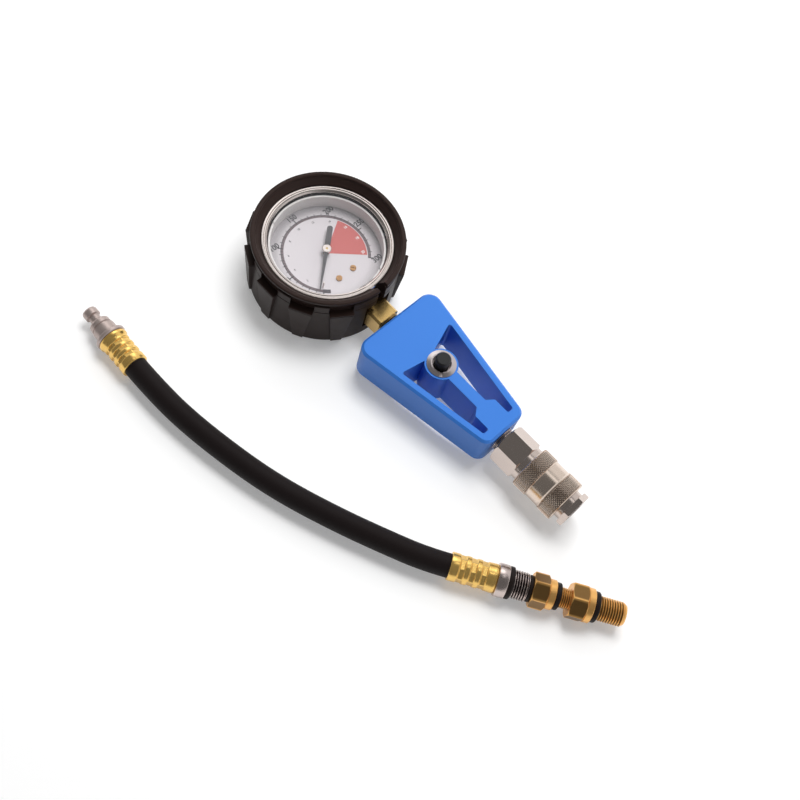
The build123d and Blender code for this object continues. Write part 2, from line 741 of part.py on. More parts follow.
def gauge_stem():
    """Brass stem: inner block, neck, wrench square and pipe thread."""
    half = STEM_BLOCK_W / 2
    top = DIAL_Z - DIAL_T
    low = PLATE_LOW_Z + PLATE_T
    stem = block_between(STEM_BLOCK_X0, STEM_BLOCK_X1, -half, half, low, top)
    foot_x = STEM_BLOCK_X1 - STEM_FOOT_L
    stem += block_between(foot_x, STEM_BLOCK_X1, -half, half, BACK_T + CASE_WALL, low)
    stem += rod_x(STEM_NECK_R, STEM_BLOCK_X1, STEM_SQ_X0)
    half_af = STEM_AF / 2
    square = block_between(STEM_SQ_X0, STEM_SQ_X1, -half_af, half_af, -half_af, half_af)
    square = chamfer(square.edges().filter_by(Axis.X), 1.2)
    stem += Pos(0, 0, AXIS_Z) * square
    stem += rod_x(STEM_NECK_R, STEM_SQ_X1, BLOCK_X0)
    stem += rod_x(PIPE_R, BLOCK_X0, STEM_THREAD_X1)
    stem -= rod_x(PIPE_BORE_R, TUBE_IN_R - 3, STEM_THREAD_X1 + 1)
    stem -= bourdon_shape(-SEAT)
    for side in (-1, 1):
        stem -= rod_z(SCREW_R, DIAL_Z - 5.0, DIAL_Z, SCREW_X, side * SCREW_Y)
    return stem


# Block and relief valve


def half_width(x):
    """Half width of the block at a place along X."""
    share = (x - BLOCK_X0) / BLOCK_L
    return (BLOCK_WIDE + (BLOCK_NARROW - BLOCK_WIDE) * share) / 2


def pocket_side(x):
    """Distance of a pocket's long outer wall from the middle."""
    lean = math.atan((BLOCK_WIDE - BLOCK_NARROW) / 2 / BLOCK_L)
    return half_width(x) - POCKET_WALL / math.cos(lean)


def pocket_face(side, x_far, x_near):
    """Outline of one pocket beside the rib, without the boss."""
    end = BLOCK_X1 - POCKET_END
    step1 = BLOCK_X1 - POCKET_STEP
    step0 = step1 - STEP_LEN
    rib = RIB_W / 2
    points = [
        (x_far, side * pocket_side(x_far)),
        (end, side * pocket_side(end)),
        (end, side * STEP_HALF),
        (step1, side * STEP_HALF),
        (step0, side * rib),
        (x_near, side * rib),
    ]
    face = make_face(Polyline(*points, close=True))
    corners = face.vertices().sort_by(Axis.X)
    keep = [v for v in corners if v.X < x_near - 1 or v.X > step0 - 1]
    return fillet(keep, POCKET_R)


def manifold_block():
    """Tapered block with two through pockets, a rib, a boss and its bores."""
    wide, narrow = BLOCK_WIDE / 2, BLOCK_NARROW / 2
    outline = [
        (BLOCK_X0, -wide),
        (BLOCK_X1, -narrow),
        (BLOCK_X1, narrow),
        (BLOCK_X0, wide),
    ]
    face = make_face(Polyline(*outline, close=True))
    corners = face.vertices().sort_by(Axis.X)
    face = fillet(corners[:2], WIDE_CORNER_R)
    corners = [v for v in face.vertices() if v.X > BLOCK_X1 - 0.01]
    face = fillet(corners, NARROW_CORNER_R)
    body = extrude(face, BLOCK_T)
    rims = body.edges().group_by(Axis.Z)
    body = chamfer(rims[0] + rims[-1], BLOCK_CH)
    body = Pos(0, 0, BLOCK_Z0) * body
    boss = rod_z(BOSS_R, BLOCK_Z0 - 1, BLOCK_Z1 + 1, VALVE_X, 0)
    up, low = BLOCK_X0 + POCKET_UP_X, BLOCK_X0 + POCKET_LOW_X
    for side, far, near in ((1, up, up + POCKET_UP_LEAN), (-1, low, low + POCKET_LOW_LEAN)):
        tool = extrude(pocket_face(side, far, near), BLOCK_T + 2)
        body -= Pos(0, 0, BLOCK_Z0 - 1) * tool - boss
    body -= rod_x(PIPE_R + SEAT, BLOCK_X0 - 1, STEM_THREAD_X1 + 1.0)
    body -= rod_x(PIPE_BORE_R, BLOCK_X0, BLOCK_X1)
    body -= rod_x(PIPE_R + SEAT, HEX_X0 - ADAPTOR_THREAD - 1.0, BLOCK_X1 + 1)
    body -= rod_z(BUSH_R + SEAT, BLOCK_Z1 - BUSH_LEN, BLOCK_Z1 + 1, VALVE_X, 0)
    body -= rod_z(BUTTON_FLANGE_R + 0.2, valve_floor(), BLOCK_Z1, VALVE_X, 0)
    return body


def valve_floor():
    """Height of the bottom of the valve chamber."""
    return AXIS_Z - VALVE_FLOOR


def lip_z():
    """Underside of the bush lip that keeps the button in."""
    return BLOCK_Z1 - VALVE_LIP_DEPTH


def at_valve(shape):
    """Move a piece turned about the gauge axis over to the valve."""
    return Pos(VALVE_X, 0, 0) * shape


def valve_bush():
    """Bevelled slotted ring that screws into the boss and guides the button."""
    top = BLOCK_Z1 + BUSH_HEAD_T
    low = BLOCK_Z1 - BUSH_LEN
    guide = BUTTON_R + SLIDE
    chamber = BUTTON_FLANGE_R + 0.2
    profile = [
        (chamber, low),
        (BUSH_R, low),
        (BUSH_R, BLOCK_Z1),
        (BUSH_HEAD_R, BLOCK_Z1),
        (BUSH_HEAD_R, BLOCK_Z1 + 0.45),
        (BUSH_MOUTH_R + 0.7, top),
        (BUSH_MOUTH_R, top),
        (BUSH_MOUTH_R, BLOCK_Z1 - 2.2),
        (guide, BLOCK_Z1 - 2.2),
        (guide, lip_z()),
        (chamber, lip_z()),
    ]
    bush = turned_z(profile)
    slot = Rot(0, 0, SLOT_DEG) * Pos(0, 0, top) * Box(2 * BUSH_HEAD_R + 2, SLOT_W, 1.4)
    return at_valve(bush - slot)


def flange_top():
    """Height of the button flange at rest, with its washer under the lip."""
    return lip_z() - 0.05 - BUTTON_SEAL_T


def push_button():
    """Black button with a bevelled top, a flange under the lip and a stem."""
    top = BLOCK_Z1 + BUTTON_PROUD
    under = flange_top()
    flange_low = under - BUTTON_FLANGE_T
    profile = [
        (0, flange_low - BUTTON_STEM_L),
        (BUTTON_STEM_R, flange_low - BUTTON_STEM_L),
        (BUTTON_STEM_R, flange_low),
        (BUTTON_FLANGE_R, flange_low),
        (BUTTON_FLANGE_R, under),
        (BUTTON_R - 0.6, under),
        (BUTTON_R - 0.6, lip_z() + 0.4),
        (BUTTON_R, lip_z() + 0.8),
        (BUTTON_R, top - 0.7),
        (BUTTON_R - 0.7, top),
        (0, top),
    ]
    return at_valve(turned_z(profile))


def button_seal():
    """Rubber washer on the button flange that seals against the lip."""
    under = flange_top()
    return at_valve(ring_z(BUTTON_R - 0.6, BUTTON_FLANGE_R, under, under + BUTTON_SEAL_T))


def valve_spring():
    """Spring under the button flange."""
    low = valve_floor()
    length = flange_top() - BUTTON_FLANGE_T - low
    return at_valve(coil(3.65, VALVE_WIRE, length, 4, low))


# Quick coupler


def coupler_adaptor():
    """Pipe thread, hexagon and collar that carry the coupler body."""
    adaptor = rod_x(PIPE_R, HEX_X0 - ADAPTOR_THREAD, BLOCK_X1)
    adaptor += rod_x(PIPE_R - 0.4, BLOCK_X1, HEX_X0)
    adaptor += hex_x(HEX_AF, HEX_X0, HEX_X1, HEX_DEG, 1.2)
    adaptor += rod_x(HEX_AF / 2 + 0.1, HEX_X1, COLLAR_X1)
    adaptor -= rod_x(SPIGOT_R + SEAT, COLLAR_X1 - SPIGOT_L, COLLAR_X1 + 1)
    return adaptor - rod_x(PIPE_BORE_R, HEX_X0 - 20, COLLAR_X1 + 1)


def mouth_r():
    """Bore radius of the coupler mouth, for the plug body."""
    return PLUG_BODY_R + SLIDE


def throat_r():
    """Bore radius for the plug tip."""
    return PLUG_KNOB_R + SLIDE


def throat_end():
    """Place where the bore for the plug tip ends."""
    return BALL_X - PLUG_GROOVE_L / 2 - PLUG_KNOB_L - 0.4


def seal_x():
    """Place of the seal ring round the plug tip."""
    return BALL_X - PLUG_GROOVE_L / 2 - PLUG_KNOB_L / 2


def coupler_body():
    """Turned body with the ball holes, the neck and the hexagon nose."""
    shoulder = LAND_X1 + 0.1
    profile = [
        (COLLAR_X1 - SPIGOT_L, 0),
        (COLLAR_X1 - SPIGOT_L, SPIGOT_R),
        (COLLAR_X1, SPIGOT_R),
        (COLLAR_X1, BODY_R),
        (shoulder, BODY_R),
        (shoulder, NECK_R),
        (NECK_X1, NECK_R),
        (NECK_X1, 0),
    ]
    body = turned_x(profile)
    body += hex_x(NOSE_AF, NECK_X1, NOSE_X1, HEX_DEG, 0.5)
    body -= rod_x(mouth_r(), NOSE_X1 - MOUTH_DEPTH, NOSE_X1 + 1)
    body -= rod_x(throat_r(), throat_end(), NOSE_X1)
    body -= rod_x(PIPE_BORE_R, COLLAR_X1 - SPIGOT_L - 1, NOSE_X1)
    groove = rod_x(throat_r() + 1.2, seal_x() - SEAL_WIRE - 0.1, seal_x() + SEAL_WIRE + 0.1)
    body -= groove
    hole = Pos(0, 0, 6) * Cylinder(BALL_R + RUN, 12)
    for i in range(BALLS):
        body -= Pos(BALL_X, 0, AXIS_Z) * Rot(360 / BALLS * i, 0, 0) * hole
    return body


def locking_balls():
    """Balls that lock the plug groove, held in by the sleeve land."""
    balls = []
    for i in range(BALLS):
        turn = Pos(BALL_X, 0, AXIS_Z) * Rot(360 / BALLS * i, 0, 0)
        balls.append(turn * Pos(0, 0, BODY_R + 0.05 - BALL_R) * Sphere(BALL_R))
    return balls


def socket_seal():
    """Rubber ring in the throat of the coupler."""
    outer = throat_r() + 1.2
    inner = throat_r() + 0.05
    x0, x1 = seal_x() - SEAL_WIRE, seal_x() + SEAL_WIRE
    profile = [(x0, inner + 0.3), (x0, outer), (x1, outer), (x1, inner + 0.3), (seal_x(), inner)]
    return turned_x(profile)


def sleeve_bore():
    """Bore radius of the sleeve behind its land, over the adaptor's collar."""
    return HEX_AF / 2 + 0.1 + SLIDE


def coupler_sleeve():
    """Sliding sleeve with two grip bands, a groove and the inner land."""
    rear = sleeve_bore()
    x0, x1 = COLLAR_X1, SLEEVE_X1
    front = NECK_R + SLIDE
    profile = [
        (x0, rear),
        (x0, SLEEVE_R - 0.3),
        (x0 + 0.3, SLEEVE_R),
        (x0 + BAND_L - 0.1, SLEEVE_R),
        (x0 + BAND_L, SLEEVE_GROOVE_R),
        (x1 - BAND_L - 0.7, SLEEVE_GROOVE_R),
        (x1 - BAND_L, SLEEVE_R),
        (x1 - 0.3, SLEEVE_R),
        (x1, SLEEVE_R - 0.3),
        (x1, front),
        (LAND_X1, front),
        (LAND_X1, LAND_R),
        (LAND_X0, LAND_R),
        (LAND_X0, rear),
    ]
    return turned_x(profile)


def sleeve_spring():
    """Spring behind the sleeve land, at its length with the sleeve pulled back."""
    length = LAND_X0 - COLLAR_X1 - SLEEVE_TRAVEL - 0.1
    spring = coil((BODY_R + sleeve_bore()) / 2, COUPLER_WIRE, length, 5, 0)
    return Pos(LAND_X0 - length, 0, AXIS_Z) * Rot(0, 90, 0) * spring


# Hose and fittings, first laid flat with the hose axis at height 0


def heading(first, second):
    """Direction from one plan point to the next, in degrees."""
    return math.degrees(math.atan2(second[1] - first[1], second[0] - first[0]))


def at_plug(shape):
    """Place a fitting built from x = 0 (ferrule mouth) towards -X at the plug end."""
    x, y = HOSE_POINTS[0]
    return Pos(x, y, 0) * Rot(0, 0, heading(HOSE_POINTS[0], HOSE_POINTS[1])) * shape


def at_end(shape):
    """Place a fitting built from x = 0 (ferrule mouth) towards +X at the far end."""
    x, y = HOSE_POINTS[-1]
    return Pos(x, y, 0) * Rot(0, 0, heading(HOSE_POINTS[-2], HOSE_POINTS[-1])) * shape


PLUG_X1 = -PLUG_FERRULE_L
PLUG_X0 = PLUG_X1 - PLUG_COLLAR_T - PLUG_BODY_L - PLUG_NECK_L - PLUG_RIM_L - PLUG_GROOVE_L - PLUG_KNOB_L
RING_A_X = END_FERRULE_L + END_COLLAR_L
M14_X0 = RING_A_X + RING_A_L
M14_X1 = M14_X0 + M14_L
HEX1_X0 = M14_X1 + RING_B_L
HEX1_X1 = HEX1_X0 + HEX1_L
FACE1_X1 = HEX1_X1 + FACE1_L
HEX2_X0 = FACE1_X1 + RING_C_L + M10_SHOW
HEX2_X1 = HEX2_X0 + HEX2_L
FACE2_X1 = HEX2_X1 + FACE2_L
M12_X0 = FACE2_X1 + RING_D_L
M12_X1 = M12_X0 + M12_L


def lay_heights():
    """Heights of the axis where the plug collar and the second hexagon touch the table."""
    corner = HEX2_AF / 2 / math.cos(math.pi / 6)
    step = 360 / 6
    off = HEX2_DEG % step - step / 2
    return PLUG_COLLAR_R + LAY_GAP, corner * math.cos(math.radians(off)) + LAY_GAP


def lay(shape):
    """Tilt and lift a flat hose piece so that both fittings rest on the table."""
    start, end = HOSE_POINTS[0], HOSE_POINTS[-1]
    deg = heading(start, end)
    rad = math.radians(deg)
    low, high = lay_heights()
    run = math.hypot(end[0] - start[0], end[1] - start[1])
    reach = run - PLUG_X1 + (HEX2_X0 + HEX2_X1) / 2
    tilt = math.degrees(math.asin((high - low) / reach))
    px = start[0] + (PLUG_X1 - 1.3) * math.cos(rad)
    py = start[1] + (PLUG_X1 - 1.3) * math.sin(rad)
    pivot = Axis((px, py, 0), (-math.sin(rad), math.cos(rad), 0))
    return Pos(0, 0, low) * shape.rotate(pivot, -tilt)


def hose_path():
    """Straight runs joined by tangent arcs, with the radius of each arc printed."""
    points = [(x, y, 0) for x, y in HOSE_POINTS]
    runs = [math.dist(points[i], points[i + 1]) for i in range(len(points) - 1)]
    radii = []
    for i in range(1, len(points) - 1):
        before = heading(points[i - 1], points[i])
        after = heading(points[i], points[i + 1])
        half = math.radians(abs(after - before) / 2)
        radii.append(HOSE_TURN_SHARE * min(runs[i - 1], runs[i]) / math.tan(half))
    print("hose radii", [round(r, 1) for r in radii])
    print("hose runs", [round(r, 1) for r in runs])
    return FilletPolyline(*points, radius=radii)


def rubber_hose():
    """Bore hose swept along its path."""
    path = hose_path()
    section = Plane(path @ 0, z_dir=path % 0) * (Circle(HOSE_R) - Circle(HOSE_BORE_R))
    hose = sweep(section, path=path)
    area = math.pi * (HOSE_R**2 - HOSE_BORE_R**2)
    print("hose length", round(path.length, 2), "volume ratio", hose.volume / area / path.length)
    return hose


def ferrule(length, end_r, sign):
    """Crimped ferrule from its mouth at x = 0 towards sign * X."""
    bore = HOSE_R + SEAT
    flare = length - 3.0
    points = [
        (0, bore),
        (0, FERRULE_R - 0.3),
        (0.3, FERRULE_R),
        (flare, FERRULE_R),
        (flare + 0.9, end_r),
        (length - 0.5, end_r),
        (length, end_r - 0.5),
        (length, bore),
    ]
    sleeve = turned_x([(sign * x, r) for x, r in points], 0)
    first = 3.6
    pitch = (flare - first) / CRIMP_ROWS
    row = 0.66 * pitch
    jaws = RegularPolygon(FERRULE_CRIMP / 2, 8, major_radius=False)
    ring = extrude(Plane.YZ * (Circle(FERRULE_R + 1) - jaws), row / 2, both=True)
    for i in range(CRIMP_ROWS):
        sleeve -= Pos(sign * (first + i * pitch + row / 2), 0, 0) * ring
    return sleeve


def ferrule_plug_end():
    """Ferrule beside the quick plug."""
    return at_plug(ferrule(PLUG_FERRULE_L, PLUG_FERRULE_END_R, -1))


def ferrule_thread_end():
    """Ferrule beside the threaded end."""
    return at_end(ferrule(END_FERRULE_L, END_FERRULE_END_R, 1))


def hose_plug():
    """Stepped quick plug with a locking groove, ferrule spigot and hose barb."""
    x = PLUG_X0
    profile = [(x, 0), (x, PLUG_KNOB_R - 1.0), (x + 0.3, PLUG_KNOB_R - 0.3), (x + 1.0, PLUG_KNOB_R)]
    x += PLUG_KNOB_L
    profile += [(x - 0.3, PLUG_KNOB_R), (x + 0.2, PLUG_GROOVE_R)]
    x += PLUG_GROOVE_L
    profile += [(x - 0.8, PLUG_GROOVE_R), (x, PLUG_RIM_R - 0.6), (x + 0.8, PLUG_RIM_R)]
    x += PLUG_RIM_L
    profile += [(x - 0.4, PLUG_RIM_R), (x, PLUG_NECK_R)]
    x += PLUG_NECK_L
    profile += [(x, PLUG_NECK_R), (x + 0.3, PLUG_BODY_R)]
    x += PLUG_BODY_L
    profile += [(x, PLUG_BODY_R), (x + 0.4, PLUG_COLLAR_R - 0.5), (x + 0.9, PLUG_COLLAR_R)]
    x += PLUG_COLLAR_T
    profile += [(x - 0.4, PLUG_COLLAR_R), (x, PLUG_COLLAR_R - 0.4)]
    profile += [(x, HOSE_R), (0, HOSE_R), (0, HOSE_BORE_R - RUN)]
    profile += [(BARB_L, HOSE_BORE_R - RUN), (BARB_L, 0)]
    plug = turned_x(profile, 0)
    return at_plug(plug - rod_x(PLUG_BORE_R, PLUG_X0 - 1, BARB_L + 1, 0))


def threaded_end():
    """Nickel end with hose barb, collar, outer M14 thread and inner M10 thread."""
    profile = [
        (-BARB_L, 0),
        (-BARB_L, HOSE_BORE_R - RUN),
        (0, HOSE_BORE_R - RUN),
        (0, HOSE_R),
        (END_FERRULE_L, HOSE_R),
        (END_FERRULE_L, END_COLLAR_R - 0.5),
        (END_FERRULE_L + 0.5, END_COLLAR_R),
        (RING_A_X - 0.3, END_COLLAR_R),
        (RING_A_X, END_COLLAR_R - 0.3),
        (RING_A_X, M14_R - 1.0),
        (M14_X0, M14_R - 1.0),
        (M14_X0, M14_R),
        (M14_X1 - 0.6, M14_R),
        (M14_X1, M14_R - 0.6),
        (M14_X1, 0),
    ]
    end = turned_x(profile, 0)
    end -= rod_x(1.8, -BARB_L - 1, M14_X1, 0)
    end -= rod_x(M10_R + SEAT, HEX1_X0 - M10_GRIP, M14_X1 + 1, 0)
    return at_end(end)


def washer(inner, outer, x, length):
    """Rubber ring with a rounded section, about the fitting axis."""
    high = outer - inner - SEAT
    wide = length - 2 * SEAT
    section = RectangleRounded(wide, high, 0.45 * min(wide, high))
    section = Pos(x + length / 2, outer - high / 2) * section
    return at_end(revolve(section, axis=Axis.X))


def collar_seal():
    """Rubber ring in the groove behind the M14 thread."""
    return washer(M14_R - 1.0, RING_A_R, RING_A_X, RING_A_L)


def face_seal():
    """Rubber ring between the M14 end and the first adapter."""
    return washer(M10_R, RING_B_R, M14_X1, RING_B_L)


def adapter_m10():
    """First adapter: hexagon with a round face and an M10 thread on each side."""
    part = rod_x(M10_R, HEX1_X0 - M10_GRIP, HEX1_X0, 0)
    part += hex_x(HEX1_AF, HEX1_X0, HEX1_X1, HEX1_DEG, 0.9, 0)
    part += rod_x(FACE1_R, HEX1_X1, FACE1_X1, 0)
    part += rod_x(M10_R, FACE1_X1, HEX2_X0 + M10_GRIP, 0)
    return at_end(part - rod_x(1.8, HEX1_X0 - 10, HEX2_X0 + 10, 0))


def adapter_seal():
    """Rubber ring on the first adapter's thread."""
    return washer(M10_R, RING_C_R, FACE1_X1, RING_C_L)


def adapter_m12():
    """Second adapter: hexagon, round face, relief and M12 thread for the plug hole."""
    part = hex_x(HEX2_AF, HEX2_X0, HEX2_X1, HEX2_DEG, 1.0, 0)
    part += rod_x(FACE2_R, HEX2_X1, FACE2_X1, 0)
    part += rod_x(M12_R - M12_RELIEF, FACE2_X1, M12_X0, 0)
    part += rod_x(M12_R, M12_X0, M12_X1 - 1.0, 0)
    tip = [(M12_X1 - 1.0, 0), (M12_X1 - 1.0, M12_R), (M12_X1, M12_R - 1.0), (M12_X1, 0)]
    part += turned_x(tip, 0)
    part -= rod_x(M10_R + SEAT, HEX2_X0 - 1, HEX2_X0 + M10_GRIP + 0.2, 0)
    part -= rod_x(1.8, HEX2_X0, M12_X1 + 1, 0)
    part -= rod_x(TIP_BORE_R, M12_X1 - 10.5, M12_X1 + 1, 0)
    return at_end(part)


def tip_seal():
    """Rubber ring behind the M12 thread."""
    return washer(M12_R - M12_RELIEF, RING_D_R, FACE2_X1, RING_D_L)


def core_points():
    """Ends of the valve core inside the M12 bore."""
    return M12_X1 - 10.5, M12_X1 - 2.0


def valve_core():
    """Check valve core screwed into the tip bore."""
    x0, x1 = core_points()
    profile = [
        (x0, 1.7),
        (x0, TIP_BORE_R - SEAT),
        (x1, TIP_BORE_R - SEAT),
        (x1, 0.7),
        (x1 - 1.2, 0.7),
        (x1 - 1.2, 2.2),
        (x0 + 1.0, 2.2),
        (x0 + 1.0, 1.7),
    ]
    return at_end(turned_x(profile, 0))


def valve_pin():
    """Pin and disc that the core spring holds shut."""
    x0, x1 = core_points()
    profile = [
        (x0 + 1.3 + PIN_TRAVEL, 0),
        (x0 + 1.3 + PIN_TRAVEL, 0.55),
        (x1 - 2.3, 0.55),
        (x1 - 2.3, 1.9),
        (x1 - 1.3, 1.9),
        (x1 - 1.3, 0.55),
        (x1 + 1.4, 0.55),
        (x1 + 1.4, 0),
    ]
    return at_end(turned_x(profile, 0))


def core_spring():
    """Spring of the check valve, at its length with the pin pushed in."""
    x0, x1 = core_points()
    length = (x1 - 2.3) - (x0 + 1.0) - PIN_TRAVEL - 0.1
    spring = coil(1.5, 0.4, length, 4, 0)
    return at_end(Pos(x1 - 2.3 - length, 0, 0) * Rot(0, 90, 0) * spring)


HEAD_NODES = {
    "rubber_boot": rubber_boot,
    "gauge_case": gauge_case,
    "bezel_ring": bezel_ring,
    "window": window,
    "window_gasket": window_gasket,
    "dial_ring": dial_ring,
    "dial_plate": dial_plate,
    "dial_screws": dial_screws,
    "stop_pin": stop_pin,
    "pointer": pointer,
    "pointer_hub": pointer_hub,
    "pointer_arbor": pointer_arbor,
    "sector_gear": sector_gear,
    "movement_frame": movement_frame,
    "bourdon_tube": bourdon_tube,
    "link": link,
    "gauge_stem": gauge_stem,
    "manifold_block": manifold_block,
    "valve_bush": valve_bush,
    "push_button": push_button,
    "button_seal": button_seal,
    "valve_spring": valve_spring,
    "coupler_adaptor": coupler_adaptor,
    "coupler_body": coupler_body,
    "locking_balls": locking_balls,
    "socket_seal": socket_seal,
    "coupler_sleeve": coupler_sleeve,
    "sleeve_spring": sleeve_spring,
}

HOSE_NODES = {
    "hose_plug": hose_plug,
    "ferrule_plug_end": ferrule_plug_end,
    "rubber_hose": rubber_hose,
    "ferrule_thread_end": ferrule_thread_end,
    "threaded_end": threaded_end,
    "collar_seal": collar_seal,
    "face_seal": face_seal,
    "adapter_m10": adapter_m10,
    "adapter_seal": adapter_seal,
    "adapter_m12": adapter_m12,
    "tip_seal": tip_seal,
    "valve_core": valve_core,
    "valve_pin": valve_pin,
    "core_spring": core_spring,
}


def write(name, shape):
    """Shift a finished node into the shared frame and write it."""
    if isinstance(shape, list):
        shape = Compound(children=[s.moved(Pos(SHIFT_X, 0, 0)) for s in shape])
    else:
        shape = Pos(SHIFT_X, 0, 0) * shape
    export_step(shape, "parts/" + name + ".step")
    box = shape.bounding_box()
    low = [round(v, 2) for v in box.min]
    high = [round(v, 2) for v in box.max]
    print(name, "solids", len(shape.solids()), low, high)


for node, build in HEAD_NODES.items():
    write(node, build())

for node, build in HOSE_NODES.items():
    write(node, lay(build()))
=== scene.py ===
"""Looks of a compression tester, dressed round its CAD frame: the dial's print,
the knurled coupler sleeve, crimped ferrules, cut threads, the hose and finishes."""
import json
import math

import bpy
import numpy as np
from bpy.props import FloatProperty, FloatVectorProperty, IntProperty, PointerProperty
from mathutils import Matrix, Vector


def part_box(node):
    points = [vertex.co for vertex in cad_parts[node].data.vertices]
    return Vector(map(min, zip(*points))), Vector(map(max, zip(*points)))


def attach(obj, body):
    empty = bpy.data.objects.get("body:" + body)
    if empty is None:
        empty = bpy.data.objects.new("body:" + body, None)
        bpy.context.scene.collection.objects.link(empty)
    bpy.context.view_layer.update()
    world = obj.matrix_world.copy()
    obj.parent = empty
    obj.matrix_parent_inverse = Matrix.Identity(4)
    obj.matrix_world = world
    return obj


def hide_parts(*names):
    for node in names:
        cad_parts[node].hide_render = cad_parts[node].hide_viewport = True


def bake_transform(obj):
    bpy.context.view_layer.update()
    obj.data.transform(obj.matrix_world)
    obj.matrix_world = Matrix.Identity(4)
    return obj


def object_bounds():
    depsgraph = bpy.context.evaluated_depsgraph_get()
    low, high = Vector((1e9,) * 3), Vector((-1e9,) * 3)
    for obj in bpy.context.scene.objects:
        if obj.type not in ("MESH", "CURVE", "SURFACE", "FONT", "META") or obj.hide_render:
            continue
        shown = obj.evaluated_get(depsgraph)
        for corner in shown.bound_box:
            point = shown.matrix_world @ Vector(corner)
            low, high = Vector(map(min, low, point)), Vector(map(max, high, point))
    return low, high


bl_info = {
    "name": "Compression tester looks",
    "version": (1, 0, 0),
    "blender": (4, 5, 0),
    "location": "View3D > Sidebar > Tester",
    "description": "Dial print, knurls, threads, hose and finishes of a compression tester",
    "category": "Object",
}

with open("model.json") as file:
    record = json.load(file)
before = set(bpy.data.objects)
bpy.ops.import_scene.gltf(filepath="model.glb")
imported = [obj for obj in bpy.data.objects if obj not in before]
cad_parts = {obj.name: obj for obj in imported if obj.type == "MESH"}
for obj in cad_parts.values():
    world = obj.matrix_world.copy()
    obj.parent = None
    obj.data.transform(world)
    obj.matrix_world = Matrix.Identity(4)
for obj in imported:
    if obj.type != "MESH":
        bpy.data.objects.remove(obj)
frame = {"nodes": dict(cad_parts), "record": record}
CAD_LOW, CAD_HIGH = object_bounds()
MM = 0.001

# Places read from the frame
WINDOW_LOW, WINDOW_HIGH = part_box("window")
GAUGE_X = (WINDOW_LOW.x + WINDOW_HIGH.x) / 2
DIAL_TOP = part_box("dial_plate")[1].z
SLEEVE_LOW, SLEEVE_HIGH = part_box("coupler_sleeve")
MOUNTS = {m["name"]: m for m in frame["record"]["mounts"]}
AXIS_Z = MOUNTS["socket_bore"]["pos_m"][2]

# Linear RGB of the finishes that have no property of their own
CASE_STEEL = (0.40, 0.40, 0.41)
BUSH_STEEL = (0.62, 0.56, 0.56)
SPRING_STEEL = (0.55, 0.55, 0.56)
HUB_METAL = (0.90, 0.82, 0.78)
SATIN_NICKEL = (0.60, 0.51, 0.48)
PLUG_NICKEL = (0.50, 0.41, 0.38)
SLEEVE_NICKEL = (0.74, 0.62, 0.53)
STEM_BRASS = (0.74, 0.50, 0.19)
MOVEMENT_BRASS = (0.68, 0.50, 0.22)
SCREW_BRASS = (0.52, 0.28, 0.11)
SEAL_BLACK = (0.013, 0.009, 0.008)
BUTTON_BLACK = (0.008, 0.008, 0.009)
POINTER_BLACK = (0.05, 0.045, 0.05)
RING_WHITE = (0.74, 0.71, 0.70)
GLASS_TINT = (0.90, 0.92, 0.95)
BAND_GREY = (0.15, 0.11, 0.12)
TICK_INK = (0.05, 0.045, 0.05)
ZERO_INK = (0.06, 0.05, 0.06)
SMALL_INK = (0.05, 0.05, 0.055)
WHITE_INK = (0.85, 0.82, 0.82)


# Properties that a user would change


class TesterColours(bpy.types.PropertyGroup):
    """Base colours of the finishes, as linear RGB."""

    rubber: FloatVectorProperty(
        name="Rubber", description="Boot rubber", subtype="COLOR", default=(0.027, 0.016, 0.0135))
    hose: FloatVectorProperty(
        name="Hose", description="Hose cover", subtype="COLOR", default=(0.010, 0.007, 0.007))
    block: FloatVectorProperty(
        name="Block", description="Anodised aluminium", subtype="COLOR",
        default=(0.042, 0.21, 0.70))
    steel: FloatVectorProperty(
        name="Steel", description="Bezel steel", subtype="COLOR", default=(0.62, 0.56, 0.53))
    nickel: FloatVectorProperty(
        name="Nickel", description="Plated coupler", subtype="COLOR", default=(0.62, 0.53, 0.48))
    brass: FloatVectorProperty(
        name="Brass", description="Crimped ferrules", subtype="COLOR", default=(0.90, 0.58, 0.17))
    adapter: FloatVectorProperty(
        name="Adapter brass", description="Threaded adapters", subtype="COLOR",
        default=(0.88, 0.48, 0.15))
    dial: FloatVectorProperty(
        name="Dial", description="Dial face", subtype="COLOR", default=(0.66, 0.62, 0.645))
    ink: FloatVectorProperty(
        name="Ink", description="Dial numbers", subtype="COLOR", default=(0.014, 0.013, 0.016))
    red: FloatVectorProperty(
        name="Red", description="Red dial sector", subtype="COLOR", default=(0.56, 0.12, 0.11))


class TesterSizes(bpy.types.PropertyGroup):
    """Sizes of the fine forms that are cut and printed here, in metres."""

    knurl_count: IntProperty(
        name="Knurl count", description="Knurl ridges round the sleeve", default=54, min=12)
    knurl_depth: FloatProperty(
        name="Knurl depth", description="Depth of the knurl", subtype="DISTANCE",
        default=0.6 * MM, min=0.0)
    thread_depth: FloatProperty(
        name="Thread depth", description="Depth of a thread as a share of its pitch",
        subtype="FACTOR", default=0.62, min=0.0, max=1.0)
    crimp_depth: FloatProperty(
        name="Crimp depth", description="Depth of the ferrule dents", subtype="DISTANCE",
        default=0.95 * MM, min=0.0)
    number_height: FloatProperty(
        name="Number height", description="Height of the dial numbers", subtype="DISTANCE",
        default=3.1 * MM, min=0.5 * MM)


# Meshes worked out on grids

# Points round a turned form, rings in a thread's pitch, and points in a knurl's pitch
ROUND_STEPS, THREAD_STEPS, KNURL_STEPS = 96, 8, 6

# Fade of a thread at its ends as a share of its pitch, and of a knurl in mm
THREAD_FADE, KNURL_FADE = 0.6, 0.35

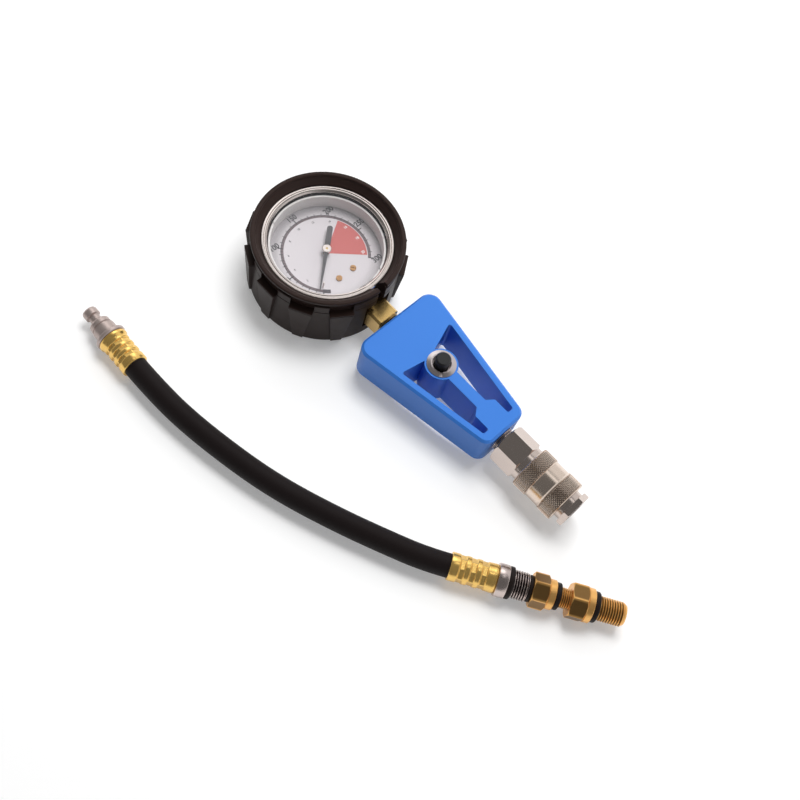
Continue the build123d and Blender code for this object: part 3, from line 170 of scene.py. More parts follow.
# A wave from 0 to 1 is stretched, lowered and cut off at 0 and 1, which leaves flats
THREAD_STRETCH, THREAD_DROP = 1.35, 0.1
CRIMP_STRETCH, CRIMP_DROP = 2.6, 0.75
KNURL_STRETCH = 1.15

# Jaws of the crimping tool, and rings in a row of its dents
CRIMP_JAWS, CRIMP_STEPS = 8, 24

# Length of a hexagon's bevel as a share of its depth, and the bevel's rings
BEVEL_SHARE, BEVEL_STEPS = 0.6, 5

# Rings in a coil's turn, and points round its wire
COIL_STEPS, WIRE_STEPS = 28, 12


def grid_faces(rows, columns, wrap_rows, wrap_columns):
    """Quads (i,j), (i,j+1), (i+1,j+1), (i+1,j) of a grid, wrapped where asked."""
    i = np.arange(rows if wrap_rows else rows - 1)
    j = np.arange(columns if wrap_columns else columns - 1)
    i, j = np.meshgrid(i, j, indexing="ij")
    i2, j2 = (i + 1) % rows, (j + 1) % columns
    return np.stack([i * columns + j, i * columns + j2, i2 * columns + j2, i2 * columns + j],
                    axis=-1).reshape(-1, 4)


def mesh_object(name, points, faces, sharp=35.0, hollow=None, caps=()):
    """Object at the origin whose mesh has the given points in metres.

    Edges that turn more than sharp, in degrees, stay sharp. hollow, where given, is stored
    on the points as mm below the crest of their ring. caps holds further faces, each a
    list of points."""
    mesh = bpy.data.meshes.new(name)
    mesh.from_pydata(points.reshape(-1, 3).tolist(), [], faces.tolist() + list(caps))
    if hollow is not None:
        mesh.attributes.new("hollow", "FLOAT", "POINT").data.foreach_set(
            "value", hollow.ravel().astype(np.float32))
    mesh.validate()
    mesh.polygons.foreach_set("use_smooth", np.ones(len(mesh.polygons), bool))
    mesh.set_sharp_from_angle(angle=math.radians(sharp))
    made = bpy.data.objects.new(name, mesh)
    bpy.context.scene.collection.objects.link(made)
    return made


class Bar:
    """A straight axis in the frame's coordinates, on which turned forms are built."""

    def __init__(self, origin, direction):
        self.origin = np.array(origin, float)
        self.along = np.array(direction, float) / np.linalg.norm(direction)
        up = np.array([0.0, 0.0, 1.0])
        up -= self.along * (up @ self.along)
        self.up = up / np.linalg.norm(up)
        self.side = np.cross(self.up, self.along)

    def surface(self, name, profile, sharp, columns=ROUND_STEPS, start=0.0):
        """Closed profile turned: point = origin + x along + r (cos t side + sin t up).

        profile is a list of (x, r) in mm, each one ring or, where x is a column of places
        and r a function of the turn, as many rings as there are places."""
        turn = math.radians(start) + np.arange(columns) * 2 * math.pi / columns
        rings = [np.broadcast_arrays(x, r(turn) if callable(r) else r, turn[None, :])[:2]
                 for x, r in profile]
        x, r = (np.vstack(part)[..., None] * MM for part in zip(*rings))
        hollow = (r.max(axis=1, keepdims=True) - r) / MM
        turned = np.cos(turn)[None, :, None] * self.side + np.sin(turn)[None, :, None] * self.up
        points = self.origin + x * self.along + r * turned
        faces = grid_faces(points.shape[0], columns, True, True)
        return mesh_object(name, points, faces, sharp, hollow)


def triangle_wave(t):
    """0 at whole numbers, 1 half way between them, straight in between."""
    return 1 - np.abs(2 * (t - np.floor(t)) - 1)


def thread(x0, x1, major, pitch, depth_share):
    """Helical thread: r = major - depth (1 - w), at half its depth at both ends.

    w is the triangle wave of x / pitch - t / 2 pi, cut flat at its crests and roots."""
    x = np.arange(x0, x1 + 1e-6, pitch / THREAD_STEPS)[:, None]

    def radius(turn):
        wave = triangle_wave(x / pitch - turn[None, :] / (2 * math.pi))
        wave = np.clip(THREAD_STRETCH * wave - THREAD_DROP, 0, 1)
        ends = np.clip(np.minimum(x - x0, x1 - x) / (THREAD_FADE * pitch), 0, 1)
        return major - depth_share * pitch * ((1 - wave) * ends + 0.5 * (1 - ends))

    return x, radius


def hexagon(x0, x1, flats, turn_deg, bevel):
    """Hexagon bar: r = smaller of (flats / 2) / cos(t), with t from the nearest flat's
    middle, and a cone that bevels the corners at both ends."""
    half, side = flats / 2, math.pi / 3
    corner = half / math.cos(side / 2)
    drop = BEVEL_SHARE * bevel
    ends = np.linspace(0, drop, BEVEL_STEPS)
    x = np.concatenate([x0 + ends, x1 - ends[::-1]])[:, None]

    def radius(turn):
        local = (turn[None, :] - math.radians(turn_deg) + side / 2) % side - side / 2
        cone = corner - bevel * (1 - np.clip(np.minimum(x - x0, x1 - x) / drop, 0, 1))
        return np.minimum(half / np.cos(local), cone)

    return x, radius


def knurl(x0, x1, outer, depth, count):
    """Diamond knurl: r = outer - depth (1 - w), with w the smaller of two triangle waves
    that slant opposite ways, its tips cut slightly flat."""
    pitch = 2 * math.pi * outer / count
    x = np.arange(x0, x1 + 1e-6, pitch / KNURL_STEPS)[:, None]

    def radius(turn):
        around = turn[None, :] * count / (2 * math.pi)
        rising = triangle_wave(around + x / pitch)
        falling = triangle_wave(around - x / pitch)
        ends = np.clip(np.minimum(x - x0, x1 - x) / KNURL_FADE, 0, 1)
        top = np.clip(KNURL_STRETCH * np.minimum(rising, falling), 0, 1)
        return outer - depth * (1 - top * ends)

    return x, radius


def crimps(x0, x1, outer, rows, depth):
    """Ferrule wall: r falls from outer to the flats of an octagon in each row.

    r = outer - w (outer - f), with f = (outer - depth) / cos(angle from the nearest flat).
    w goes smoothly from 0 between the rows to 1 over most of each row."""
    x = np.linspace(x0, x1, CRIMP_STEPS * rows + 1)[:, None]
    pitch = (x1 - x0) / rows
    step = 2 * math.pi / CRIMP_JAWS

    def radius(turn):
        wave = np.sin(math.pi * (x - x0) / pitch) ** 2
        window = np.clip(CRIMP_STRETCH * wave - CRIMP_DROP, 0, 1)
        window = window * window * (3 - 2 * window)
        local = (turn[None, :] + step / 2) % step - step / 2
        flat = np.minimum((outer - depth) / np.cos(local), outer)
        return outer - window * (outer - flat)

    return x, radius


def coil(name, node, wire, turns):
    """Round wire coil in a node's place, closed by a flat cap at each end.

    Across, point = centre + (R + w cos u) (cos v, sin v); its height is w above the
    node's foot, plus a rise even in v, plus w sin u; w is half the wire."""
    low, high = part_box(node)
    centre = (low + high) / 2
    half = wire / 2 * MM
    radius = (high.x - low.x) / 2 - half
    v = np.linspace(0, 2 * math.pi * turns, COIL_STEPS * turns + 1)[:, None]
    u = np.arange(WIRE_STEPS)[None, :] * 2 * math.pi / WIRE_STEPS
    across = radius + half * np.cos(u)
    rise = (high.z - low.z - 2 * half) * v / v[-1]
    points = np.stack(np.broadcast_arrays(
        centre.x + across * np.cos(v), centre.y + across * np.sin(v),
        low.z + half + rise + half * np.sin(u)), axis=-1)
    faces = grid_faces(len(v), WIRE_STEPS, False, True)[:, ::-1]
    first = list(range(WIRE_STEPS))
    last = [WIRE_STEPS * (len(v) - 1) + point for point in reversed(first)]
    return mesh_object(name, points, faces, 50.0, caps=(first, last))


# Shader maths


class Wire:
    """A shader value; Python operators on it add Math nodes."""

    def __init__(self, paint, socket):
        self.paint, self.socket = paint, socket

    def math(self, operation, other, flip=False):
        """Adds a Math node on this value and another, in turned order where asked."""
        values = [other, self] if flip else [self, other]
        node = self.paint.node("ShaderNodeMath", {"operation": operation}, values)
        return Wire(self.paint, node.outputs[0])

    def __add__(self, other):
        return self.math("ADD", other)

    def __mul__(self, other):
        return self.math("MULTIPLY", other)

    def __truediv__(self, other):
        return self.math("DIVIDE", other)

    def __rtruediv__(self, other):
        return self.math("DIVIDE", other, flip=True)

    __radd__ = __add__
    __rmul__ = __mul__


class Paint:
    """A material named look_ and a name: constants stand on the shader, varying values
    are linked to it. Further constants are named after the shader's sockets."""

    def __init__(self, name, colour, rough, metal=0.0, **constants):
        self.material = bpy.data.materials.new("look_" + name)
        self.material.use_nodes = True
        self.material.diffuse_color = (*colour, 1.0)
        self.tree = self.material.node_tree
        self.shader = self.tree.nodes["Principled BSDF"]
        self.set("Base Color", (*colour, 1.0))
        self.set("Roughness", rough)
        self.set("Metallic", metal)
        for key, value in constants.items():
            self.set(key.replace("_", " ").title().replace("Ior", "IOR"), value)

    def set(self, socket, value):
        """Sets a shader socket to a constant or links a value to it."""
        if isinstance(value, Wire):
            self.tree.links.new(value.socket, self.shader.inputs[socket])
        else:
            self.shader.inputs[socket].default_value = value

    def node(self, kind, settings=None, values=None):
        """Adds a node, its settings first, then its sockets by place or name."""
        made = self.tree.nodes.new(kind)
        for key, value in (settings or {}).items():
            setattr(made, key, value)
        pairs = values.items() if isinstance(values, dict) else enumerate(values or [])
        for key, value in pairs:
            if isinstance(value, Wire):
                self.tree.links.new(value.socket, made.inputs[key])
            else:
                made.inputs[key].default_value = value
        return made

    def place(self):
        """Object coordinates, in metres."""
        return Wire(self, self.node("ShaderNodeTexCoord").outputs["Object"])

    def noise(self, scale, detail=3.0):
        """Noise from 0 to 1, with scale cells per metre."""
        made = self.node("ShaderNodeTexNoise", None, {
            "Vector": self.place(), "Scale": scale, "Detail": detail})
        return Wire(self, made.outputs[0])

    def hollow(self, start_mm, end_mm):
        """0 on the crests of a cut surface, rising to 1 in its hollows; it masks painted shade.
        """
        made = self.node("ShaderNodeAttribute", {"attribute_name": "hollow"})
        return self.ramp(Wire(self, made.outputs["Fac"]), start_mm, end_mm)

    def mix(self, share, low, high):
        """Colour between two, by a value from 0 to 1."""
        # Sockets 6, 7 and 2 are the node's colours A, B and Result
        made = self.node("ShaderNodeMix", {"data_type": "RGBA"}, {
            "Factor": share, 6: (*low, 1.0), 7: (*high, 1.0)})
        return Wire(self, made.outputs[2])

    def vector(self, operation, first, second=None):
        """Vector maths; lengths and products come back as numbers."""
        values = [first] if second is None else [first, second]
        made = self.node("ShaderNodeVectorMath", {"operation": operation}, values)
        return Wire(self, made.outputs[1 if operation in ("LENGTH", "DOT_PRODUCT") else 0])

    def ramp(self, value, start, end):
        """Smooth rise from 0 to 1 between two values."""
        made = self.node("ShaderNodeMapRange", {"interpolation_type": "SMOOTHSTEP"}, {
            "Value": value, "From Min": start, "From Max": end})
        return Wire(self, made.outputs[0])

    def uneven(self, rough, vary, scale):
        """Roughness that wanders by vary about its middle value."""
        self.set("Roughness", self.noise(scale) * vary + (rough - vary / 2))

    def soften(self, radius_mm, height=None, strength=0.2, distance_mm=0.1):
        """Rounds the edges in the shading, under a bump from height where one is given."""
        edge = self.node("ShaderNodeBevel", {"samples": 4}, {"Radius": radius_mm * MM})
        normal = Wire(self, edge.outputs[0])
        if height is not None:
            bump = self.node("ShaderNodeBump", None, {
                "Strength": strength, "Distance": distance_mm * MM,
                "Height": height, "Normal": normal})
            normal = Wire(self, bump.outputs[0])
        self.set("Normal", normal)
        return self


def colours():
    """The colours that a user can set."""
    return bpy.context.scene.tester_colours


def sizes():
    """The sizes that a user can set."""
    return bpy.context.scene.tester_sizes


def rubber(name, colour, rough, grain, radius_mm):
    """Moulded rubber with a fine grain and a slight unevenness in its sheen."""
    paint = Paint(name, colour, rough, specular_ior_level=0.16)
    paint.uneven(rough, vary=0.16, scale=90.0)
    height = paint.noise(grain, detail=2.0)
    return paint.soften(radius_mm, height, strength=0.35, distance_mm=0.05).material


def metal(name, colour, rough, radius_mm=0.12, vary=0.10, hollow_mm=None, dark=0.12,
          share=1.0):
    """Machined or plated metal with uneven gloss and a faint grain.

    Its colour falls to the share dark at hollow_mm below the crests, where that is given;
    this is painted shade in the hollows of threads and knurls.
    share is how much of the finish mirrors; the rest scatters like a satin surface."""
    paint = Paint(name, colour, rough, metal=share)
    # Painted shade: the colour darkens from the crests into the hollows of cut forms
    if hollow_mm is not None:
        hollow_shade = tuple(dark * channel for channel in colour)
        paint.set("Base Color", paint.mix(paint.hollow(0.1 * hollow_mm, hollow_mm), colour, hollow_shade))
    paint.uneven(rough, vary, scale=160.0)
    height = paint.noise(900.0, detail=2.0)
    return paint.soften(radius_mm, height, strength=0.10, distance_mm=0.03).material


def dress(material, *nodes):
    """Gives CAD nodes a finish through their own slots."""
    for node in nodes:
        for place in frame["nodes"][node].material_slots:
            place.material = material


def finish_piece(piece, body, material, slot_name, *replaced):
    """Seats a new piece on its body with its finish, in place of CAD nodes."""
    piece.data.materials.clear()
    piece.data.materials.append(material)
    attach(piece, body)
    if replaced:
        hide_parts(*replaced)


SHARED_FINISHES = {
    "seal_black": lambda name: rubber(name, SEAL_BLACK, rough=0.50, grain=2500.0, radius_mm=0.1),
    # nickel_satin paints shade into the hollows of its threads
    "nickel_satin": lambda name: metal(
        name, SATIN_NICKEL, rough=0.27, radius_mm=0.08, hollow_mm=0.55, dark=0.1),
    "spring_steel": lambda name: metal(name, SPRING_STEEL, rough=0.25, radius_mm=0.05),
    "movement_brass": lambda name: metal(name, MOVEMENT_BRASS, rough=0.30, radius_mm=0.05),
}


def shared(name):
    """A finish that several operators use, made once."""
    return bpy.data.materials.get("look_" + name) or SHARED_FINISHES[name](name)


# Operators, one for each group of pieces


class TesterStep:
    """What the operators share."""

    bl_options = {"REGISTER", "UNDO"}

    @classmethod
    def poll(cls, context):
        return context.scene is not None


class TESTER_OT_boot(TesterStep, bpy.types.Operator):
    """Finishes the moulded rubber boot."""

    bl_idname = "tester.boot"
    bl_label = "Rubber boot"

    def execute(self, context):
        dress(rubber("boot_rubber", colours().rubber, rough=0.45, grain=2200.0, radius_mm=0.35),
              "rubber_boot")
        return {"FINISHED"}


class TESTER_OT_case(TesterStep, bpy.types.Operator):
    """Finishes the case, the bezel, the window and its gasket."""

    bl_idname = "tester.case"
    bl_label = "Case and bezel"

    def execute(self, context):
        dress(metal("bezel_steel", colours().steel, rough=0.22, radius_mm=0.08, vary=0.06),
              "bezel_ring")
        dress(metal("case_steel", CASE_STEEL, rough=0.35), "gauge_case")
        dress(shared("seal_black"), "window_gasket")
        dress(Paint("ring_white", RING_WHITE, rough=0.32).material, "dial_ring")
        dress(Paint("window_glass", GLASS_TINT, rough=0.03, alpha=0.04).material, "window")
        return {"FINISHED"}


# The dial's scales in mm from the gauge axis and degrees seen from above; the full
# values are those at the end of the sweep
SCALE_FIRST, SCALE_SWEEP = -45.0, 270.0
OUTER_FULL, INNER_FULL = 300.0, 20.68
BAND_IN, BAND_OUT, LINE_OUT = 21.7, 23.0, 23.25
ZERO_IN, ZERO_OUT, ZERO_FROM, ZERO_TO = 21.5, 23.6, -36.0, -46.0
RED_IN, RED_OUT, RED_FROM, RED_TO = 0.9, 21.3, 121.0, 49.0

# Painted shadow of the bezel on the face beyond the scale: radii between which it rises, its
# mean, swing and darkest side
SHADE_FROM, SHADE_TO, SHADE_MEAN, SHADE_SWING, SHADE_DEG = 21.5, 27.0, 0.38, 0.16, 150.0

# Ticks by the step of their values: inner radius, outer radius and half width in degrees
TICKS = {50: (BAND_IN, 24.8, 0.7), 10: (BAND_IN, 24.0, 0.45), 5: (22.3, 23.3, 0.45)}

# Numbers: radius, share of the set height, and degrees by which one stands off its tick
OUTER_R, ZERO_R, INNER_R = 26.4, 25.4, 19.3
OUTER_SHARE, ZERO_SHARE, INNER_SHARE, RED_SHARE = 1.0, 0.7, 0.42, 0.5
OFF_TICK = {250: 6.6}

# Letters: size over the height of a number, thickening as a share of it, and width
TEXT_SIZE, TEXT_BOLD, TEXT_WIDTH = 1.4, 0.028, 0.88

# Heights of the printed layers over the dial in mm
BAND_LIFT, LINE_LIFT, NUMBER_LIFT, TICK_LIFT = 0.04, 0.048, 0.06, 0.064
ZERO_LIFT, RED_NUMBER_LIFT = 0.08, 0.096

# Points along the printed arcs, and the ink's roughness
BAND_STEPS, RED_STEPS, ZERO_STEPS, TICK_STEPS = 160, 48, 8, 3
INK_ROUGH = 0.5


def dial_angle(value, full):
    """Angle in degrees of a scale value; the scale runs clockwise seen from above."""
    return SCALE_FIRST - SCALE_SWEEP * value / full


def sector_patch(r0, r1, from_deg, to_deg, lift, steps):
    """Flat ring sector: point = gauge axis + r (cos a, sin a), r and a on a grid.

    The angle falls from the first to the second, so the faces point up."""
    angle = np.radians(np.linspace(from_deg, to_deg, steps))[None, :]
    radius = np.array([r0, r1])[:, None] * MM
    x = GAUGE_X + radius * np.cos(angle)
    y = radius * np.sin(angle)
    z = np.full_like(x, DIAL_TOP + lift * MM)
    return np.stack([x, y, z], axis=-1).reshape(-1, 3), grid_faces(2, steps, False, False)


def tick_patch(value):
    """Tick of the outer scale."""
    inner, outer, half = next(tick for step, tick in TICKS.items() if value % step == 0)
    angle = dial_angle(value, OUTER_FULL)
    return sector_patch(inner, outer, angle + half, angle - half, TICK_LIFT, TICK_STEPS)


def number_patch(value, radius, angle_deg, share, lift):
    """Upright number in triangles, with its middle at a radius and an angle.

    A letter's point (x, y) comes to the number's place + (-y, width x)."""
    height = sizes().number_height * share
    curve = bpy.data.curves.new("number", "FONT")
    curve.body = str(value)
    curve.size = height * TEXT_SIZE
    curve.offset = height * TEXT_BOLD
    curve.align_x = "CENTER"
    curve.align_y = "CENTER"
    maker = bpy.data.objects.new("number", curve)
    bpy.context.scene.collection.objects.link(maker)
    bpy.context.view_layer.update()
    flat = bpy.data.meshes.new_from_object(maker)
    points = np.empty(3 * len(flat.vertices))
    faces = np.empty(len(flat.loops), np.int32)
    flat.vertices.foreach_get("co", points)
    flat.loops.foreach_get("vertex_index", faces)
    bpy.data.meshes.remove(flat)
    bpy.data.objects.remove(maker)
    bpy.data.curves.remove(curve)
    x, y = points.reshape(-1, 3).T[:2]
    angle = math.radians(angle_deg)
    placed = np.stack([GAUGE_X + radius * MM * math.cos(angle) - y,
                       radius * MM * math.sin(angle) + TEXT_WIDTH * x,
                       np.full_like(x, DIAL_TOP + lift * MM)], axis=-1)
    return placed, faces.reshape(-1, 3)


def outer_number(value):
    """Number of the outer scale."""
    angle = dial_angle(value, OUTER_FULL) + OFF_TICK.get(value, 0.0)
    return number_patch(value, OUTER_R, angle, OUTER_SHARE, NUMBER_LIFT)


def inner_number(value, share, lift):
    """Number of the inner scale."""
    return number_patch(value, INNER_R, dial_angle(value, INNER_FULL), share, lift)


def joined(name, patches):
    """One flat mesh of several patches."""
    points, faces, base = [], [], 0
    for patch_points, patch_faces in patches:
        points.append(patch_points)
        faces.append(patch_faces + base)
        base += len(patch_points)
    return mesh_object(name, np.vstack(points), np.vstack(faces))


def shade_dial(face, node):
    """Darkens the face beyond the scale with a painted shadow of the bezel, darkest on one side:
    colour x (1 - s (mean + swing cos(a - side))).

    s rises smoothly from 0 to 1 between two radii, a is the angle about the gauge axis."""
    centre = node.matrix_world.inverted() @ Vector((GAUGE_X, 0, DIAL_TOP))
    arm = face.vector("SUBTRACT", face.place(), tuple(centre))
    radius = face.vector("LENGTH", arm)
    way = math.radians(SHADE_DEG)
    lean = face.vector("DOT_PRODUCT", arm, (math.cos(way), math.sin(way), 0.0)) / radius
    rise = face.ramp(radius, SHADE_FROM * MM, SHADE_TO * MM)
    dark = rise * (lean * SHADE_SWING + SHADE_MEAN)
    face.set("Base Color", face.mix(dark, colours().dial, (0.0, 0.0, 0.0)))


class TESTER_OT_dial(TesterStep, bpy.types.Operator):
    """Prints the dial: the scale, its numbers and the red sector."""

    bl_idname = "tester.dial"
    bl_label = "Dial print"

    def execute(self, context):
        face = Paint("dial_face", colours().dial, rough=0.45)
        # Painted shadow of the bezel, darker on one side of the face's rim
        shade_dial(face, frame["nodes"]["dial_plate"])
        dress(face.material, "dial_plate")
        dress(metal("screw_brass", SCREW_BRASS, rough=0.35, radius_mm=0.02), "dial_screws")
        last = SCALE_FIRST - SCALE_SWEEP
        band = [sector_patch(BAND_IN, BAND_OUT, SCALE_FIRST, last, BAND_LIFT, BAND_STEPS)]
        line = [sector_patch(BAND_OUT, LINE_OUT, SCALE_FIRST, last, LINE_LIFT, BAND_STEPS)]
        ticks = [tick_patch(value) for value in range(0, 301, 5)]
        zero = [sector_patch(ZERO_IN, ZERO_OUT, ZERO_FROM, ZERO_TO, ZERO_LIFT, ZERO_STEPS)]
        red = [sector_patch(RED_IN, RED_OUT, RED_FROM, RED_TO, LINE_LIFT, RED_STEPS)]
        outer = [outer_number(value) for value in range(50, 301, 50)]
        outer.append(number_patch(0, ZERO_R, SCALE_FIRST, ZERO_SHARE, NUMBER_LIFT))
        inner = [inner_number(value, INNER_SHARE, NUMBER_LIFT) for value in range(2, 16, 2)]
        white = [inner_number(value, RED_SHARE, RED_NUMBER_LIFT) for value in (16, 18, 20)]
        for name, patches, ink, colour in (
                ("scale_band", band, "band_grey", BAND_GREY),
                ("scale_ticks", line + ticks, "tick_ink", TICK_INK),
                ("zero_mark", zero, "zero_ink", ZERO_INK),
                ("red_sector", red, "red_ink", colours().red),
                ("outer_numbers", outer, "number_ink", colours().ink),
                ("inner_numbers", inner, "small_ink", SMALL_INK),
                ("red_numbers", white, "white_ink", WHITE_INK)):
            finish_piece(joined(name, patches), "frame",
                         Paint(ink, colour, rough=INK_ROUGH).material, "dial_white")
        return {"FINISHED"}


class TESTER_OT_pointer(TesterStep, bpy.types.Operator):
    """Finishes the pointer, its hub, the stop pin and the movement."""

    bl_idname = "tester.pointer"
    bl_label = "Pointer and movement"

    def execute(self, context):
        dress(Paint("pointer_black", POINTER_BLACK, rough=0.35).material, "pointer")
        dress(metal("hub_metal", HUB_METAL, rough=0.40, radius_mm=0.02, vary=0.05),
              "pointer_hub", "stop_pin")
        dress(shared("movement_brass"), "pointer_arbor", "sector_gear", "movement_frame",
              "bourdon_tube", "link")
        return {"FINISHED"}


# Threaded necks on both sides of the block in mm: start from the gauge axis, length and
# root radius of each, and the thread of both
STEM_NECK_X, STEM_NECK_L, STEM_ROOT_R = 47.4, 2.8, 5.98
COUPLER_NECK_X, COUPLER_NECK_L, COUPLER_ROOT_R = 130.2, 2.3, 6.15
NECK_THREAD_R, NECK_PITCH, NECK_DEPTH_SHARE = 6.58, 1.15, 0.42


def neck_thread(name, start, length, root, material, slot_name):
    """Pipe thread that shows on a round neck; its root lies just under the neck."""
    bar = Bar((GAUGE_X + start * MM, 0.0, AXIS_Z), (1, 0, 0))
    turns = thread(0.0, length, NECK_THREAD_R, NECK_PITCH, NECK_DEPTH_SHARE)
    piece = bar.surface(name, [(0, root), turns, (length, root)], sharp=30.0)
    finish_piece(piece, "frame", material, slot_name)


class TESTER_OT_stem(TesterStep, bpy.types.Operator):
    """Finishes the brass stem and cuts its pipe thread."""

    bl_idname = "tester.stem"
    bl_label = "Gauge stem"

    def execute(self, context):
        # Painted shade in the hollows of the stem's thread
        brass = metal("stem_brass", STEM_BRASS, rough=0.24, radius_mm=0.10, hollow_mm=0.3,
                      dark=0.3)
        dress(brass, "gauge_stem")
        neck_thread("stem_thread", STEM_NECK_X, STEM_NECK_L, STEM_ROOT_R, brass, "stem_brass")
        return {"FINISHED"}


class TESTER_OT_block(TesterStep, bpy.types.Operator):
    """Finishes the anodised block."""

    bl_idname = "tester.block"
    bl_label = "Tapered block"

    def execute(self, context):
        paint = Paint("block_blue", colours().block, rough=0.42, metal=0.15)
        paint.uneven(0.42, vary=0.10, scale=700.0)
        grain = paint.noise(3000.0, detail=2.0)
        dress(paint.soften(0.25, grain, strength=0.10, distance_mm=0.03).material,
              "manifold_block")
        return {"FINISHED"}


# Valve spring: wire in mm, and turns
VALVE_WIRE, VALVE_TURNS = 0.7, 4


class TESTER_OT_valve(TesterStep, bpy.types.Operator):
    """Finishes the relief valve's bush and button, and winds the spring they press."""

    bl_idname = "tester.valve"
    bl_label = "Relief valve"

    def execute(self, context):
        dress(metal("bush_steel", BUSH_STEEL, rough=0.30, radius_mm=0.10), "valve_bush")
        button = Paint("button_black", BUTTON_BLACK, rough=0.34)
        dress(button.soften(0.2).material, "push_button")
        dress(shared("seal_black"), "button_seal")
        spring = coil("valve_coil", "valve_spring", VALVE_WIRE, VALVE_TURNS)
        spring.data.materials.append(shared("spring_steel"))
        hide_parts("valve_spring")
        low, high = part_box("valve_spring")
        foot = (low + high) / 2
        foot.z = low.z
        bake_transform(spring)
        return {"FINISHED"}


# Coupler sleeve in mm: places from its rear end, radii, and the plain rims of its bands
GRIP_L, RIM_L, RIM_DROP = 8.5, 0.4, 0.1
GROOVE_DEPTH, GROOVE_RUN = 0.55, 0.7
REAR_BORE_R, FRONT_BORE_R = 9.7, 8.3
LAND_R, LAND_X0, LAND_X1 = 7.08, 17.95, 20.95


def sleeve_profile(length, outer):
    """Two knurled bands with a groove between them, and the land in the bore."""
    rim, groove, corner = outer - RIM_DROP, outer - GROOVE_DEPTH, outer - 0.45
    far_grip, edge = length - GRIP_L, RIM_L - 0.05
    depth, count = sizes().knurl_depth / MM, sizes().knurl_count
    return [
        (0, REAR_BORE_R), (0, corner), (edge, rim),
        knurl(RIM_L, GRIP_L - RIM_L, outer, depth, count),
        (GRIP_L - edge, rim), (GRIP_L, groove),
        (far_grip - GROOVE_RUN, groove), (far_grip, outer - 0.05), (far_grip + edge, rim),
        knurl(far_grip + RIM_L, length - RIM_L, outer, depth, count),
        (length - edge, rim), (length, corner), (length, FRONT_BORE_R),
        (LAND_X1, FRONT_BORE_R), (LAND_X1, LAND_R), (LAND_X0, LAND_R), (LAND_X0, REAR_BORE_R),
    ]


class TESTER_OT_coupler(TesterStep, bpy.types.Operator):
    """Knurls the coupler sleeve and finishes the coupler."""

    bl_idname = "tester.coupler"
    bl_label = "Quick coupler"

    def execute(self, context):
        dress(metal("nickel_plate", colours().nickel, rough=0.22, radius_mm=0.15),
              "coupler_adaptor", "coupler_body")
        neck_thread("coupler_thread", COUPLER_NECK_X, COUPLER_NECK_L, COUPLER_ROOT_R,
                    shared("nickel_satin"), "nickel")
        dress(shared("spring_steel"), "locking_balls", "sleeve_spring")
        dress(shared("seal_black"), "socket_seal")
        size = (SLEEVE_HIGH - SLEEVE_LOW) / MM
        bar = Bar((SLEEVE_LOW.x, 0.0, AXIS_Z), (1, 0, 0))
        sleeve = bar.surface("sleeve_knurled", sleeve_profile(size.x, size.y / 2), sharp=28.0,
                             columns=sizes().knurl_count * KNURL_STEPS)
        # Painted shade in the hollows of the knurl
        plate = metal("sleeve_nickel", SLEEVE_NICKEL, rough=0.24, radius_mm=0.02, hollow_mm=0.8,
                      dark=0.05)
        finish_piece(sleeve, "sleeve", plate, "nickel", "coupler_sleeve")
        return {"FINISHED"}


# Control points of the hose in metres, measured from the gauge axis
HOSE_POINTS = [
    (-0.0160, -0.10945),
    (-0.0030, -0.10995),
    (0.0225, -0.1090),
    (0.0574, -0.1032),
    (0.0814, -0.0970),
    (0.1080, -0.0873),
    (0.1300, -0.0779),
    (0.1481, -0.0696),
    (0.1582, -0.0632),
]
HOSE_DIAMETER = 0.0118

# Fittings on the hose in mm: places along the axis from the ferrule's mouth, and radii
SEAT = 0.02
HOSE_R = HOSE_DIAMETER / 2 / MM
FERRULE_R, FERRULE_ROWS = 6.95, 3
FERRULE_MOUTH_L, FERRULE_FLARE_L = 3.0, 3.0
NEAR_FERRULE_L, NEAR_FERRULE_END_R = 19.0, 7.6
FAR_FERRULE_L, FAR_FERRULE_END_R = 23.0, 7.1
BARB_L, BARB_R = 6.0, 2.94
BORE_R, TIP_BORE_R, TIP_BORE_L = 1.8, 2.9, 10.5
END_COLLAR_R, END_COLLAR_L = 8.1, 5.2
COLLAR_SEAL_L, FACE_SEAL_L, ADAPTER_SEAL_L, TIP_SEAL_L = 2.6, 1.8, 2.7, 2.9
M14_R, M14_L, M14_PITCH, M14_RELIEF = 7.0, 7.7, 1.25, 1.0
M12_R, M12_L, M12_PITCH, M12_RELIEF = 6.0, 13.3, 1.25, 0.6
M10_R, M10_SHOW, M10_PITCH, M10_GRIP = 5.0, 4.8, 1.0, 7.0
HEX1_AF, HEX1_L, HEX1_DEG, HEX1_BEVEL = 15.0, 7.7, 110.0, 0.9
HEX2_AF, HEX2_L, HEX2_DEG, HEX2_BEVEL = 16.0, 8.0, 129.0, 1.0
FACE1_R, FACE1_L = 7.3, 3.5
FACE2_R, FACE2_L = 8.4, 3.3

# Places on the far fitting that follow from those sizes
COLLAR_X1 = FAR_FERRULE_L + END_COLLAR_L
M14_X0 = COLLAR_X1 + COLLAR_SEAL_L
M14_X1 = M14_X0 + M14_L
HEX1_X0 = M14_X1 + FACE_SEAL_L
HEX1_X1 = HEX1_X0 + HEX1_L
FACE1_X1 = HEX1_X1 + FACE1_L
HEX2_X0 = FACE1_X1 + ADAPTER_SEAL_L + M10_SHOW
HEX2_X1 = HEX2_X0 + HEX2_L
FACE2_X1 = HEX2_X1 + FACE2_L
M12_X0 = FACE2_X1 + TIP_SEAL_L
M12_X1 = M12_X0 + M12_L


